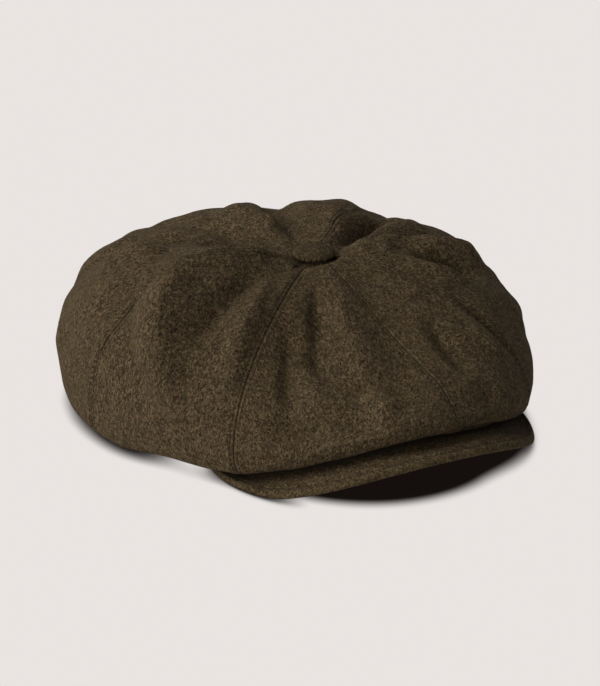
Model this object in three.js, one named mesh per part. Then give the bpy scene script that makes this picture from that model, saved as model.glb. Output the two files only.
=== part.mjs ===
// Eight-panel newsboy cap with a covered crown button, a stiffened visor, a lining and a sweatband.
// Millimetres, +Z up. The origin is the middle of the cap's footprint, on the table it rests on.
// The visor points along -Y, the wearer's left is +X and the back of the cap is +Y.
// The shapes are worked out round the middle of the head opening and moved together at the end.
// Angles round the cap are measured from the visor's centre line, positive towards +X.
// A profile is a list of points [radius, z] in the upright plane at one such angle.
import * as THREE from 'three';

// ---- driving dimensions -------------------------------------------------------------------
const HEAD_X = 82; // half width of the seam line round the head opening
const HEAD_Y = 100; // half length of that seam line, a size 58 head
const APEX_Z = 86.2; // outside of the crown where the eight points meet
const APEX_DIMPLE = 3; // how far the points are pulled down by the button
const CROWN_T = 2.2; // thickness of the wool cloth
const LINING_T = 0.6;
const LINING_GAP = 4.4; // from the outside of the wool inwards to the lining's profile
const LINING_SLACK = 0.4; // from that profile inwards to the outside of the lining
const LABEL_T = 0.5;
const LABEL_DEPTH = LINING_T + 1.2; // from the outside of the lining to that of the label
const PANEL_GAP = 0.4; // between neighbouring panels
const PUFF = 3.6; // how far a panel stands out between its seams
const TABLE_CLEAR = 0.4; // the crown's lowest fold and hem over the table
const FRONT_ARCH = 23.7; // height of the arch in the middle of the visor
const ARCH_HALF = 80; // where the arch meets the table
const BAND_H = 28; // sweatband height
const BAND_DROP = 6.5; // how much lower its top edge stands where it leans in over the visor
const BAND_LEAN = 3; // how far that edge leans in over the visor
const VISOR_HALF = 95.3; // half width of the visor
const VISOR_DEPTH = 49.9; // how far the visor stands out in front of the head opening
const BUTTON_R = 11.8; // covered button radius
const BUTTON_H = 5.4; // its height over the cloth
const BUTTON_Z = APEX_Z + 1.2; // level the button's parts are measured from

// The panels in order round the cap, from the wearer's right of the visor. Columns: name, and how
// far the panel's first seam wanders half way down, in degrees.
const PANELS = [
  ['front_right', -3],
  ['front_left', 8],
  ['side_front_left', -1],
  ['side_rear_left', 0],
  ['rear_left', -4],
  ['rear_right', -4],
  ['side_rear_right', -1],
  ['side_front_right', -4],
];
const PANEL_DEG = 360 / PANELS.length;

// Smooth shape of the crown round the cap, as a mean with cosine and sine terms.
const SHAPE = {
  // widest radius
  wideR: { mean: 132, cos: [-5.2, 2.9, 3.9, 1.45], sin: [-4.0, 4.6, -3.5, 1.0] },
  // height of the widest place
  wideZ: { mean: 25.8, cos: [-7.9, 14.3], sin: [-2.4, 1.8] },
  // how square the shoulder is
  squareness: { mean: 0.925, cos: [0.249, 0.163], sin: [0.021, 0.016] },
  // how much the shoulder lifts
  shoulderLift: { mean: 3.8, cos: [-7.5, -8.0, -1.85], sin: [-0.3, 0.37, 3.8] },
  // where the lowest fold lies between head opening and widest place
  foldShare: { mean: 0.62, cos: [0.06], sin: [-0.02, 0.06] },
};

// ---- helpers ------------------------------------------------------------------------------
const DEG = Math.PI / 180;
const clamp = (value, low, high) => Math.min(high, Math.max(low, value));
const smooth = (share) => {
  const x = clamp(share, 0, 1);
  return x * x * (3 - 2 * x);
};
const softMax = (a, b, blend) => 0.5 * (a + b + Math.sqrt((a - b) * (a - b) + blend * blend));
const mix = (a, b, share) => a + (b - a) * share;
const even = (from, to, steps) =>
  Array.from({ length: steps + 1 }, (_, i) => from + ((to - from) * i) / steps);
// Sum of a SHAPE entry's terms at an angle.
function fourier({ mean, cos, sin }, angle) {
  const withCos = cos.reduce((sum, k, i) => sum + k * Math.cos((i + 1) * angle), mean);
  return withCos + sin.reduce((sum, k, i) => sum + k * Math.sin((i + 1) * angle), 0);
}
// Point in space at a radius, height and angle round the cap.
const place = (radius, z, angle) => [radius * Math.sin(angle), -radius * Math.cos(angle), z];

// Radius of the head opening's seam line.
const headRadius = (angle) => 1 / Math.hypot(Math.cos(angle) / HEAD_Y, Math.sin(angle) / HEAD_X);
// Height of the visor's arch over the table at a place x across the cap.
const arch = (x) => softMax(FRONT_ARCH * (1 - (x / ARCH_HALF) ** 2), 0, 3) - 0.35;
// 0 at the sides and behind, 1 in front; a greater steepness widens the front.
const frontShare = (angle, steepness = 2.2) => smooth(Math.cos(angle) * steepness);
// How far the arch raises a place at a radius, in front only.
const archLift = (radius, angle) =>
  Math.cos(angle) <= 0 ? 0 : arch(radius * Math.sin(angle)) * frontShare(angle);
// Lower edge of the headband, which follows the visor in front and lies flat behind.
const hemZ = (angle) => archLift(headRadius(angle), angle);
const bandTop = (angle) => hemZ(angle) + BAND_H - BAND_DROP * frontShare(angle);

// ---- profiles -----------------------------------------------------------------------------
// Rounds the small steps of a profile, keeping its ends.
function relax(profile, times) {
  let points = profile;
  for (let n = 0; n < times; n++) {
    const old = points;
    points = old.map((point, i) => {
      if (i === 0 || i === old.length - 1) return point;
      return [0, 1].map((k) => (old[i - 1][k] + 2 * point[k] + old[i + 1][k]) / 4);
    });
  }
  return points;
}

// Angle through which a profile turns at point i.
function turnAt(points, i) {
  if (i === points.length - 1) return 0;
  const [before, here, after] = [points[i - 1], points[i], points[i + 1]];
  const arriving = Math.atan2(here[1] - before[1], here[0] - before[0]);
  const leaving = Math.atan2(after[1] - here[1], after[0] - here[0]);
  const turn = leaving - arriving;
  return Math.abs(Math.atan2(Math.sin(turn), Math.cos(turn)));
}

// Spaces points evenly in a mix of length and turning, so that folds stay round.
function resample(points, steps, turnWeight) {
  const measure = [0];
  for (let i = 1; i < points.length; i++) {
    const [a, b] = [points[i - 1], points[i]];
    const length = Math.hypot(b[0] - a[0], b[1] - a[1]);
    measure.push(measure[i - 1] + length + turnWeight * turnAt(points, i));
  }
  const total = measure[measure.length - 1];
  return even(0, 1, steps).map((share) => {
    const want = share * total;
    let i = 1;
    while (i < measure.length - 1 && measure[i] < want) i++;
    const gap = Math.max(1e-9, measure[i] - measure[i - 1]);
    const k = clamp((want - measure[i - 1]) / gap, 0, 1);
    return [0, 1].map((c) => mix(points[i - 1][c], points[i][c], k));
  });
}

// Moves point i of a profile along its own outward normal, which points up at the apex.
function offsetPoint(points, i, distance) {
  const a = points[Math.max(0, i - 1)];
  const b = points[Math.min(points.length - 1, i + 1)];
  const length = Math.hypot(b[0] - a[0], b[1] - a[1]) || 1;
  const [r, z] = points[i];
  return [r - ((b[1] - a[1]) / length) * distance, z + ((b[0] - a[0]) / length) * distance];
}

const SHOULDER_POWER = 1.13; // how the radius grows from the apex
const LOWER_Z_POWER = 0.954; // roundness from the widest place down to the fold
const LOWER_R_POWER = 0.513;
const FOLD_RISE = 6.4; // the fold is this much higher in front
const HEM_RISE = 5.9; // and the hem this much
const RISE_STEEPNESS = 2.4;
const HEM_OUT = 1.2; // from the head opening's seam line to the hem
const HEM_BULGE = 1.6; // how far the cloth rises between fold and hem

// Outside of the wool, from the apex out over the shoulder, under the fold and in to the hem.
function outerProfile(angle) {
  const headR = headRadius(angle);
  const wideR = fourier(SHAPE.wideR, angle);
  const squareness = clamp(fourier(SHAPE.squareness, angle), 0.3, 1.5);
  const shoulderLift = fourier(SHAPE.shoulderLift, angle);
  const rise = frontShare(angle, RISE_STEEPNESS);
  const foldR = headR + (wideR - headR) * clamp(fourier(SHAPE.foldShare, angle), 0.1, 1);
  const foldZ = TABLE_CLEAR + archLift(foldR, angle) + FOLD_RISE * rise;
  // The widest place stays about 9 or more over the fold.
  const wideZ = foldZ + softMax(fourier(SHAPE.wideZ, angle) - foldZ, 9, 4);
  const apexZ = APEX_Z + APEX_DIMPLE;
  const points = [];

  // Over the shoulder, flattened near the apex and dimpled under the button.
  const shoulderSteps = 90;
  for (let i = 0; i <= shoulderSteps; i++) {
    const f = (i / shoulderSteps) * Math.PI / 2;
    const r = wideR * Math.sin(f) ** SHOULDER_POWER;
    let z = wideZ + (apexZ - wideZ) * Math.cos(f) ** squareness;
    z += shoulderLift * Math.sin(2 * f) ** 2;
    z += (apexZ - z) * (1 - smooth((r - 8) / 20)) - APEX_DIMPLE * Math.exp(-((r / 15) ** 2));
    points.push([r, i === shoulderSteps ? wideZ : z]);
  }
  // Down to the fold.
  const lowerSteps = 60;
  for (let i = 1; i <= lowerSteps; i++) {
    const g = (i / lowerSteps) * Math.PI / 2;
    const r = foldR + (wideR - foldR) * Math.max(0, Math.cos(g)) ** LOWER_R_POWER;
    points.push([r, foldZ + (wideZ - foldZ) * (1 - Math.sin(g) ** LOWER_Z_POWER)]);
  }
  // In to the hem.
  const hemR = headR + HEM_OUT;
  const hemEndZ = hemZ(angle) + TABLE_CLEAR + HEM_RISE * rise;
  const hemSteps = 24;
  for (let i = 1; i <= hemSteps; i++) {
    const k = i / hemSteps;
    points.push([mix(foldR, hemR, k), mix(foldZ, hemEndZ, k) + HEM_BULGE * Math.sin(Math.PI * k)]);
  }
  return points;
}

// Smoothed crown profile, kept for every angle already met; it stops short of the axis.
const crownProfiles = new Map();
function crownProfile(angle) {
  const key = angle.toFixed(5);
  if (!crownProfiles.has(key)) {
    const points = relax(outerProfile(angle), 6).filter(([r]) => r > 3.2);
    crownProfiles.set(key, relax(resample(points, 120, 22), 2));
  }
  return crownProfiles.get(key);
}

// The lining follows the wool inside the crown, then turns in behind the sweatband.
function liningProfile(angle) {
  const wool = crownProfile(angle);
  const under = wool.map((_, i) => {
    const [r, z] = offsetPoint(wool, i, -LINING_GAP);
    return [r, z - 2.6 * Math.exp(-((r / 17) ** 2))]; // hangs lower under the button
  });
  const headR = headRadius(angle);
  const top = bandTop(angle);
  const leave = under.findIndex(([r, z], i) => i > 30 && r > headR + 3 && z < top + 10);
  const points = under.slice(0, leave).filter(([r]) => r > 5);

  // A quadratic curve leads from the wool in to the top of the sweatband.
  const start = under[leave];
  const end = [headR + 2.6, Math.min(top + 4, start[1] - 6)];
  const control = [start[0] + 1, (start[1] + end[1]) / 2 - 3];
  for (const k of even(0, 1, 20)) {
    const j = 1 - k;
    points.push([0, 1].map((c) => j ** 2 * start[c] + 2 * k * j * control[c] + k * k * end[c]));
  }
  // Down behind the sweatband, ending 13 over its lower edge.
  for (let i = 1; i <= 10; i++) {
    points.push([end[0] - 1.6 * smooth(i / 6), end[1] + ((hemZ(angle) + 13 - end[1]) * i) / 10]);
  }
  return resample(relax(points, 6), 60, 14);
}

// ---- solids -------------------------------------------------------------------------------
function meshGeometry(points, indices) {
  const geometry = new THREE.BufferGeometry();
  const positions = new Float32Array(points.flat());
  geometry.setAttribute('position', new THREE.BufferAttribute(positions, 3));
  geometry.setIndex(indices);
  geometry.computeVertexNormals();
  return geometry;
}

// A closed sheet between two grids of points, given as rows.
function sheet(outer, inner) {
  const lastRow = outer.length - 1;
  const lastCol = outer[0].length - 1;
  const indices = [];
  const out = (r, c) => r * (lastCol + 1) + c;
  const inn = (r, c) => (lastRow + 1) * (lastCol + 1) + out(r, c);
  const quad = (a, b, c, d) => indices.push(a, b, c, a, c, d);
  for (let r = 0; r < lastRow; r++) {
    for (let c = 0; c < lastCol; c++) {
      quad(out(r, c), out(r + 1, c), out(r + 1, c + 1), out(r, c + 1));
      quad(inn(r, c), inn(r, c + 1), inn(r + 1, c + 1), inn(r + 1, c));
    }
  }
  for (let r = 0; r < lastRow; r++) {
    quad(out(r, 0), inn(r, 0), inn(r + 1, 0), out(r + 1, 0));
    quad(out(r, lastCol), out(r + 1, lastCol), inn(r + 1, lastCol), inn(r, lastCol));
  }
  for (let c = 0; c < lastCol; c++) {
    quad(out(0, c), out(0, c + 1), inn(0, c + 1), inn(0, c));
    quad(out(lastRow, c), inn(lastRow, c), inn(lastRow, c + 1), out(lastRow, c + 1));
  }
  return meshGeometry([...outer.flat(), ...inner.flat()], indices);
}

// ---- crown and lining panels --------------------------------------------------------------
// In a panel, s runs from 0 to 1 between its seams and u from 0 to 1 from apex to hem.
// The first two panels meet on the visor's centre line.
const seamDeg = (k) => (k - 1) * PANEL_DEG;

// spotAt(s, u) gives the angle, the profile there and the lift of the outer face along its normal.
function clothSheet({ rows, cols, thickness, spotAt, across = [0, 1], down = [0, 1] }) {
  const outer = [];
  const inner = [];
  for (const u of even(...down, rows)) {
    const spots = even(...across, cols).map((s) => ({ s, ...spotAt(s, u) }));
    const face = (depth) => spots.map(({ s, angle, profile, lift }) => {
      const i = Math.round(u * (profile.length - 1));
      const [r, z] = offsetPoint(profile, i, lift - depth);
      // Edges on a seam draw back by half the gap.
      const edge = s === 0 ? 1 : s === 1 ? -1 : 0;
      return place(r, z, angle + (edge * PANEL_GAP) / 2 / Math.max(2, r));
    });
    outer.push(face(0));
    inner.push(face(thickness));
  }
  return sheet(outer, inner);
}

// Angle of a place in crown panel k, whose seams wander on their way down.
function panelAngle(k, s, u) {
  const wander = Math.sin(Math.PI * clamp(u * 1.05, 0, 1)) ** 0.8;
  const seam = (n) => seamDeg(n) + PANELS[n % PANELS.length][1] * wander;
  return mix(seam(k), seam(k + 1), s) * DEG;
}

// How far a crown panel stands out, or in along its seams.
function puffAt(s, u) {
  const acrossShare = Math.sin(Math.PI * s) ** 0.8 - 0.45;
  return PUFF * acrossShare * Math.sin(Math.PI * clamp((u - 0.04) / 0.62, 0, 1)) ** 0.9;
}

function crownPanel(k) {
  const spotAt = (s, u) => {
    const angle = panelAngle(k, s, u);
    return { angle, profile: crownProfile(angle), lift: puffAt(s, u) };
  };
  return clothSheet({ rows: 16, cols: 6, thickness: CROWN_T, spotAt });
}

// Places in lining panel k, at a depth inside the lining's outer face.
const liningSpot = (k, depth) => (s) => {
  const angle = (seamDeg(k) + PANEL_DEG * s) * DEG;
  return { angle, profile: liningProfile(angle), lift: -depth - LINING_SLACK };
};
const liningPanel = (k) =>
  clothSheet({ rows: 11, cols: 4, thickness: LINING_T, spotAt: liningSpot(k, 0) });

// The label lies inside the rear left lining panel.
const liningLabel = () => clothSheet({
  rows: 5,
  cols: 4,
  thickness: LABEL_T,
  spotAt: liningSpot(4, LABEL_DEPTH),
  across: [0.28, 0.72],
  down: [0.3, 0.46],
});

// ---- bands round the head opening ---------------------------------------------------------
// outside, inside: how far the faces lie in from the seam line.
// above: lower edge over the headband's; below: top edge under the sweatband's.
const STIFFENER = { outside: 1.8, inside: 3.0, above: 0.5, below: 3 };
const SWEATBAND = { outside: 3.7, inside: 5.3, above: 0, below: 0 };
const SEAM_TAPE = { outside: 5.7, inside: 6.5, above: 1.5, below: 1.5 };
const SIZE_TAB = { outside: 5.9, inside: 6.5, above: 8, below: 6 };

// Corners of a band's section: outer top, outer low, inner low, inner top.
function bandSection({ outside, inside, above, below }, angle) {
  const low = headRadius(angle);
  const top = low - BAND_LEAN * frontShare(angle);
  const topZ = bandTop(angle) - below;
  const lowZ = hemZ(angle) + above;
  return [
    place(top - outside, topZ, angle),
    place(low - outside, lowZ, angle),
    place(low - inside, lowZ, angle),
    place(top - inside, topZ, angle),
  ];
}

function openBand(size, fromDeg, toDeg, steps) {
  const sections = even(fromDeg, toDeg, steps).map((deg) => bandSection(size, deg * DEG));
  const row = (corner) => sections.map((section) => section[corner]);
  return sheet([row(0), row(1)], [row(3), row(2)]);
}

function closedBand(size, steps) {
  const points = [];
  const indices = [];
  for (let i = 0; i < steps; i++) {
    points.push(...bandSection(size, (i / steps) * 2 * Math.PI));
    const a = i * 4;
    const b = ((i + 1) % steps) * 4;
    for (let k = 0; k < 4; k++) {
      const next = (k + 1) % 4;
      indices.push(a + k, a + next, b + next, a + k, b + next, b + k);
    }
  }
  return meshGeometry(points, indices);
}

// ---- visor --------------------------------------------------------------------------------
const VISOR_DEG = 71; // the visor meets the head opening this far to either side
const VISOR_BACK = 35; // the rim's ends lie this far in front of the opening's middle
const RIM_ROUND = 0.7; // how far the upper face drops at the rim

// low, high: faces over the arch; span: share of the visor's width; inset: in from its edges;
// rows: shares from head opening to rim; lip: how far the lower face turns down at the rim.
const INNER_PLAN = { span: 0.95, cols: 28, rows: even(0, 1, 5), inset: 1.9, lip: 0 };
const VISOR_BOARD = { low: 1.3, high: 2.5, ...INNER_PLAN };
const UNDER_COVER = { low: 0, high: 1.0, ...INNER_PLAN };
const UPPER_ROWS = [0, 0.25, 0.5, 0.75, 0.955, 0.965, 1];
const UPPER_COVER = {
  low: 2.8, high: 4.5, span: 0.985, cols: 32, rows: UPPER_ROWS, inset: 0, lip: 2.5,
};

// [x, y] in the visor: w from -1 to 1 along it, v from 0 at the head opening to 1 at its rim.
function visorPlan(w, v, inset) {
  const [backX, backY] = place(headRadius(w * VISOR_DEG * DEG) - 0.2 + inset, 0, w * VISOR_DEG * DEG);
  const a = w * Math.PI / 2;
  const rimX = VISOR_HALF * Math.sin(a);
  const rimY = -(VISOR_BACK + (HEAD_Y - VISOR_BACK + VISOR_DEPTH) * Math.cos(a) ** 0.8);
  // The visor narrows to a rounded tip at either end.
  const tip = clamp((Math.abs(w) - 0.8) / 0.2, 0, 1);
  const narrowing = Math.sqrt(Math.max(0, 1 - tip * tip)) * 0.9 + 0.1;
  const reach = Math.hypot(rimX - backX, rimY - backY);
  const share = (v * (reach * narrowing - 2 * inset)) / reach;
  return [mix(backX, rimX, share), mix(backY, rimY, share)];
}

function visorSheet({ low, high, span, cols, rows, inset, lip }) {
  const outer = [];
  const inner = [];
  for (const v of rows) {
    const plan = even(-1, 1, cols).map((e) => {
      // Columns crowd together towards the tips.
      const w = span * (0.45 * e + 0.55 * Math.sin((e * Math.PI) / 2));
      return visorPlan(w, v, inset);
    });
    const face = (height) => plan.map(([x, y]) => [x, y, arch(x) + 0.3 + height]);
    outer.push(face(high - (v > 0.97 ? RIM_ROUND : 0)));
    inner.push(face(low - (v >= 0.96 ? lip : 0)));
  }
  return sheet(outer, inner);
}

// ---- button -------------------------------------------------------------------------------
// Turns a profile round the button's axis; it is reversed where needed so faces point outwards.
function lathe(profile) {
  const area = profile.reduce((sum, [r, z], i) => {
    const [nextR, nextZ] = profile[(i + 1) % profile.length];
    return sum + r * nextZ - nextR * z;
  }, 0);
  const ordered = area < 0 ? [...profile].reverse() : profile;
  const geometry = new THREE.LatheGeometry(ordered.map(([r, z]) => new THREE.Vector2(r, z)), 20);
  geometry.rotateX(Math.PI / 2);
  geometry.translate(0, 0, BUTTON_Z);
  return geometry;
}

// A dome shell, open below, from the top of its outer face out, down and back inside.
function dome({ radius, height, thickness, base, turnIn }) {
  const steps = 5;
  const arc = (r, low, high) => even(0, Math.PI / 2, steps).map((a) =>
    [r * Math.sin(a), low + (high - low) * Math.cos(a)]);
  const innerBase = base + thickness * 0.5;
  return [
    ...arc(radius, base, height),
    [radius - 0.4, base - 0.5],
    [radius - turnIn, base - 0.5],
    [radius - turnIn, innerBase],
    ...arc(radius - thickness, innerBase, height - thickness).reverse(),
  ];
}
const BUTTON_COVER = { radius: BUTTON_R, height: BUTTON_H, thickness: 1.3, base: 1.3, turnIn: 3.2 };
const BUTTON_SHELL = {
  radius: BUTTON_R - 2.4, height: BUTTON_H - 1.8, thickness: 0.5, base: 2.7, turnIn: 0.5,
};

// A flat disc with a hole.
const disc = ({ hole, radius, low, high }) =>
  [[hole, low], [radius, low], [radius, high], [hole, high], [hole, low]];
const BACK_PLATE = { hole: 1.9, radius: 8.2, low: 1.05, high: 1.55 };
const WASHER = { hole: 1.7, radius: 7.5, low: -4.2, high: -3.6 };

// Rivet outline [radius, z]: the foot, the shank and the wider head.
const RIVET = [
  [0, -5.4], [2.6, -5.4], [2.6, -4.9], [1.3, -4.6],
  [1.3, 1.9], [4, 1.9], [4, 2.5], [0, 2.5],
];

// ---- materials ----------------------------------------------------------------------------
const standard = (settings) => new THREE.MeshStandardMaterial(settings);
const wool = standard({ color: 0x4b3f2f, roughness: 0.95 });
const satin = standard({ color: 0x2b241b, roughness: 0.45 });
const twill = standard({ color: 0x1d1813, roughness: 0.85 });
const board = standard({ color: 0xd8d4c8, roughness: 0.5 });
const buckram = standard({ color: 0xb8ad93, roughness: 0.8 });
const tin = standard({ color: 0xa8a9ab, roughness: 0.35, metalness: 1 });
const steel = standard({ color: 0x8d8f92, roughness: 0.4, metalness: 1 });
const ribbon = standard({ color: 0x15120f, roughness: 0.6 });

// ---- assembly -----------------------------------------------------------------------------
const cap = new THREE.Group();
function add(name, geometry, material) {
  const mesh = new THREE.Mesh(geometry, material);
  mesh.name = name;
  cap.add(mesh);
}

PANELS.forEach(([name], k) => add('crown_panel_' + name, crownPanel(k), wool));
PANELS.forEach(([name], k) => add('lining_panel_' + name, liningPanel(k), satin));

add('headband_stiffener', closedBand(STIFFENER, 56), buckram);
add('sweatband', openBand(SWEATBAND, -179.7, 179.7, 60), twill);
add('sweatband_seam_tape', openBand(SEAM_TAPE, 174, 186, 2), twill);
add('size_tab', openBand(SIZE_TAB, 152, 165, 3), ribbon);
add('lining_label', liningLabel(), ribbon);

// The board lies between two cloth covers; the upper one turns down round its rim.
add('visor_board', visorSheet(VISOR_BOARD), board);
add('visor_under_cover', visorSheet(UNDER_COVER), wool);
add('visor_upper_cover', visorSheet(UPPER_COVER), wool);

// Cloth over a pressed dome, closed by a back plate and held by a rivet and washer.
add('button_cover', lathe(dome(BUTTON_COVER)), wool);
add('button_shell', lathe(dome(BUTTON_SHELL)), tin);
add('button_back_plate', lathe(disc(BACK_PLATE)), steel);
add('button_rivet', lathe(RIVET), steel);
add('button_washer', lathe(disc(WASHER)), steel);

// The head opening is a little off the middle of the footprint, so the whole cap moves to suit.
const { min, max } = new THREE.Box3().setFromObject(cap);
cap.position.set(-(min.x + max.x) / 2, -(min.y + max.y) / 2, 0);

export default cap;
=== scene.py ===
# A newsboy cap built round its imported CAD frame: eight wool panels with seams, topstitching and
# soft folds, a covered button, a stitched visor, a lined inside with its sweatband, on a pale floor.
# Z is up and the cap rests on z = 0. The visor points to -Y and the wearer's left is +X.
#
# Shapes are worked out in millimetres round the middle of the head opening, and moved to the
# frame's metres as each mesh is made. Three words keep one meaning throughout:
#   angle  round the cap from the visor's middle, positive towards +X (radians unless said)
#   down   share of the way from the apex (0) over the shoulder and the fold to the hem (1)
#   share  share of the way across a panel, or of a band's height
import functools
import math

import bpy
import numpy as np
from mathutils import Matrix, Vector
from mathutils.kdtree import KDTree


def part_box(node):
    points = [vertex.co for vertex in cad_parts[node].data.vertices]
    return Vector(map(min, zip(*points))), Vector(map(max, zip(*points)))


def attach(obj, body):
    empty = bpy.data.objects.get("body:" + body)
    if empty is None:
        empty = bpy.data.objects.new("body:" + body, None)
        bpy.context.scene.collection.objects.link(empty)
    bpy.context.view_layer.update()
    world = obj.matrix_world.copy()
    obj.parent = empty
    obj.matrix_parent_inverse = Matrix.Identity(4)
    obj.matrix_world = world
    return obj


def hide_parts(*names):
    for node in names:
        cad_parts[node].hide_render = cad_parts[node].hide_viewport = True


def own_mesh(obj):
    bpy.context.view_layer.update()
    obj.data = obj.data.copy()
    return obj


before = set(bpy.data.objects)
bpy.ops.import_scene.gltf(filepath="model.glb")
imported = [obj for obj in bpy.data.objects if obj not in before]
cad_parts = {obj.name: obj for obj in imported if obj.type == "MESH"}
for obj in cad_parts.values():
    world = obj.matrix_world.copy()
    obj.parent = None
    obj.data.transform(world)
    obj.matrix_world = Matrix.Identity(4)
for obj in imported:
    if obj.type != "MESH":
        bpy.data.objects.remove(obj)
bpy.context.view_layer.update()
band_lo, band_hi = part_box("sweatband")
CX, CY = (band_lo.x + band_hi.x) / 2, (band_lo.y + band_hi.y) / 2    # middle of the head opening

# ---------------------------------------------------------------- the cap's shape, in millimetres
HEAD_HALF_X, HEAD_HALF_Y = 82.0, 100.0
APEX_Z, DIMPLE = 86.2, 3.0
ARCH_HEIGHT, ARCH_HALF = 23.7, 80.0                     # the hem's arch over the visor
BAND_HEIGHT, BAND_FRONT_DROP, BAND_LEAN = 28.0, 6.5, 3.0
SEAM_DEG = [45.0 * i - 45.0 for i in range(9)]
SEAM_DRIFT = [-3.0, 8.0, -1.0, 0.0, -4.0, -4.0, -1.0, -4.0, -3.0]   # degrees, halfway down
PUFF = 3.6                                              # how far a full panel stands out
PANELS = ["front_right", "front_left", "side_front_left", "side_rear_left",
          "rear_left", "rear_right", "side_rear_right", "side_front_right"]
# How the outline changes round the cap: mean, cosine terms, sine terms.
OUTLINE = {"widest_radius": (132.0, (-5.2, 2.9, 3.9, 1.45), (-4.0, 4.6, -3.5, 1.0)),
           "widest_z": (25.8, (-7.9, 14.3), (-2.4, 1.8)),
           "dome_power": (0.925, (0.249, 0.163), (0.021, 0.016)),
           "shoulder": (3.8, (-7.5, -8.0, -1.85), (-0.3, 0.37, 3.8)),
           "fold": (0.62, (0.06, 0.0), (-0.02, 0.06))}
DOME_R_POWER, LOWER_Z_POWER, LOWER_R_POWER = 1.13, 0.954, 0.513


def smooth(x):
    x = np.clip(x, 0.0, 1.0)
    return x * x * (3 - 2 * x)


def bell(x, width=1.0):
    return np.exp(-((x / width) ** 2))


def unit(vectors):
    return vectors / np.maximum(np.linalg.norm(vectors, axis=-1, keepdims=True), 1e-9)


def soft_max(a, b, softness):
    return 0.5 * (a + b + np.sqrt((a - b) ** 2 + softness * softness))


def polar(radius, angle, z):
    """Points from a radius, an angle round the cap and a height."""
    flat = np.broadcast_arrays(radius * np.sin(angle), -radius * np.cos(angle), z)
    return np.stack(flat, -1)


def run_along(line):
    """Distance run at each point of a line."""
    return np.concatenate([[0], np.cumsum(np.linalg.norm(np.diff(line, axis=0), axis=1))])


def outline(key, angle):
    mean, cosines, sines = OUTLINE[key]
    return (mean + sum(k * np.cos((i + 1) * angle) for i, k in enumerate(cosines))
            + sum(k * np.sin((i + 1) * angle) for i, k in enumerate(sines)))


def head(angle):
    """Radius of the head opening."""
    return 1 / np.hypot(np.cos(angle) / HEAD_HALF_Y, np.sin(angle) / HEAD_HALF_X)


def arch(x):
    return soft_max(ARCH_HEIGHT * (1 - (x / ARCH_HALF) ** 2), 0.0, 3.0) - 0.35


def front_share(angle):
    """1 at the front, fading to 0 at the sides."""
    return smooth(np.cos(angle) * 2.2)


def hem_z(angle):
    return arch(head(angle) * np.sin(angle)) * front_share(angle)


def band_top(angle):
    return hem_z(angle) + BAND_HEIGHT - BAND_FRONT_DROP * front_share(angle)


def outer_profile(angle):
    """(radius, z) of the crown at one angle: the dome, round to the fold, then back to the hem."""
    wide, opening = outline("widest_radius", angle), head(angle)
    dome_power = np.clip(outline("dome_power", angle), 0.3, 1.5)
    fold_r = opening + (wide - opening) * np.clip(outline("fold", angle), 0.1, 1)
    raised = smooth(math.cos(angle) * 2.4)              # the crown stands higher over the visor
    fold_z = 0.4 + arch(fold_r * np.sin(angle)) * front_share(angle) + 6.4 * raised
    wide_z = fold_z + soft_max(outline("widest_z", angle) - fold_z, 9.0, 4.0)

    turn = np.linspace(0, math.pi / 2, 91)
    top = APEX_Z + DIMPLE
    dome_r = wide * np.sin(turn) ** DOME_R_POWER
    dome_z = (wide_z + (top - wide_z) * np.clip(np.cos(turn), 0, 1) ** dome_power
              + outline("shoulder", angle) * np.sin(2 * turn) ** 2)
    dome_z += (top - dome_z) * (1 - smooth((dome_r - 8) / 20)) - DIMPLE * bell(dome_r, 15)
    dome_z[-1] = wide_z

    turn = np.linspace(0, math.pi / 2, 61)[1:]
    lower_r = fold_r + (wide - fold_r) * np.clip(np.cos(turn), 0, 1) ** LOWER_R_POWER
    lower_z = fold_z + (wide_z - fold_z) * (1 - np.sin(turn) ** LOWER_Z_POWER)

    way = np.linspace(0, 1, 25)[1:]
    hem = hem_z(angle) + 0.4 + 5.9 * raised
    under_r = fold_r + (opening + 1.2 - fold_r) * way
    under_z = fold_z + (hem - fold_z) * way + 1.6 * np.sin(math.pi * way)
    return np.column_stack([np.concatenate([dome_r, lower_r, under_r]),
                            np.concatenate([dome_z, lower_z, under_z])])


def relax(line, times):
    line = line.copy()
    for _ in range(times):
        line[1:-1] = (line[:-2] + 2 * line[1:-1] + line[2:]) / 4
    return line


def resample(line, steps, turn_weight):
    """Spaces a profile's points evenly, but closer together where it turns."""
    step = np.diff(line, axis=0)
    heading = np.arctan2(step[:, 1], step[:, 0])
    turn = np.abs(np.arctan2(np.sin(np.diff(heading)), np.cos(np.diff(heading))))
    cost = np.hypot(step[:, 0], step[:, 1]) + turn_weight * np.concatenate([turn, [0]])
    run = np.concatenate([[0], np.cumsum(cost)])
    at = np.linspace(0, run[-1], steps + 1)
    return np.column_stack([np.interp(at, run, line[:, 0]), np.interp(at, run, line[:, 1])])


def crown_column(angle, steps=240):
    line = relax(outer_profile(angle), 6)
    line = line[line[:, 0] > 3.2]                       # the button hides the middle
    return relax(resample(line, steps, 22.0), 4)


SHELL_COLUMNS = 720


def between(grid, angle, row, eased=False):
    """Value of grid[column round the cap, row] between its entries."""
    columns = grid.shape[0]
    column = (np.degrees(angle) + 180.0) * columns / 360.0
    i = np.floor(column).astype(int)
    j = np.minimum(row.astype(int), grid.shape[1] - 2)
    right, low = column - i, row - j
    if eased:
        right, low = (f * f * (3 - 2 * f) for f in (right, low))
    if grid.ndim == 3:
        right, low = right[..., None], low[..., None]
    here, after = i % columns, (i + 1) % columns
    return ((grid[here, j] * (1 - low) + grid[here, j + 1] * low) * (1 - right)
            + (grid[after, j] * (1 - low) + grid[after, j + 1] * low) * right)


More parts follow.
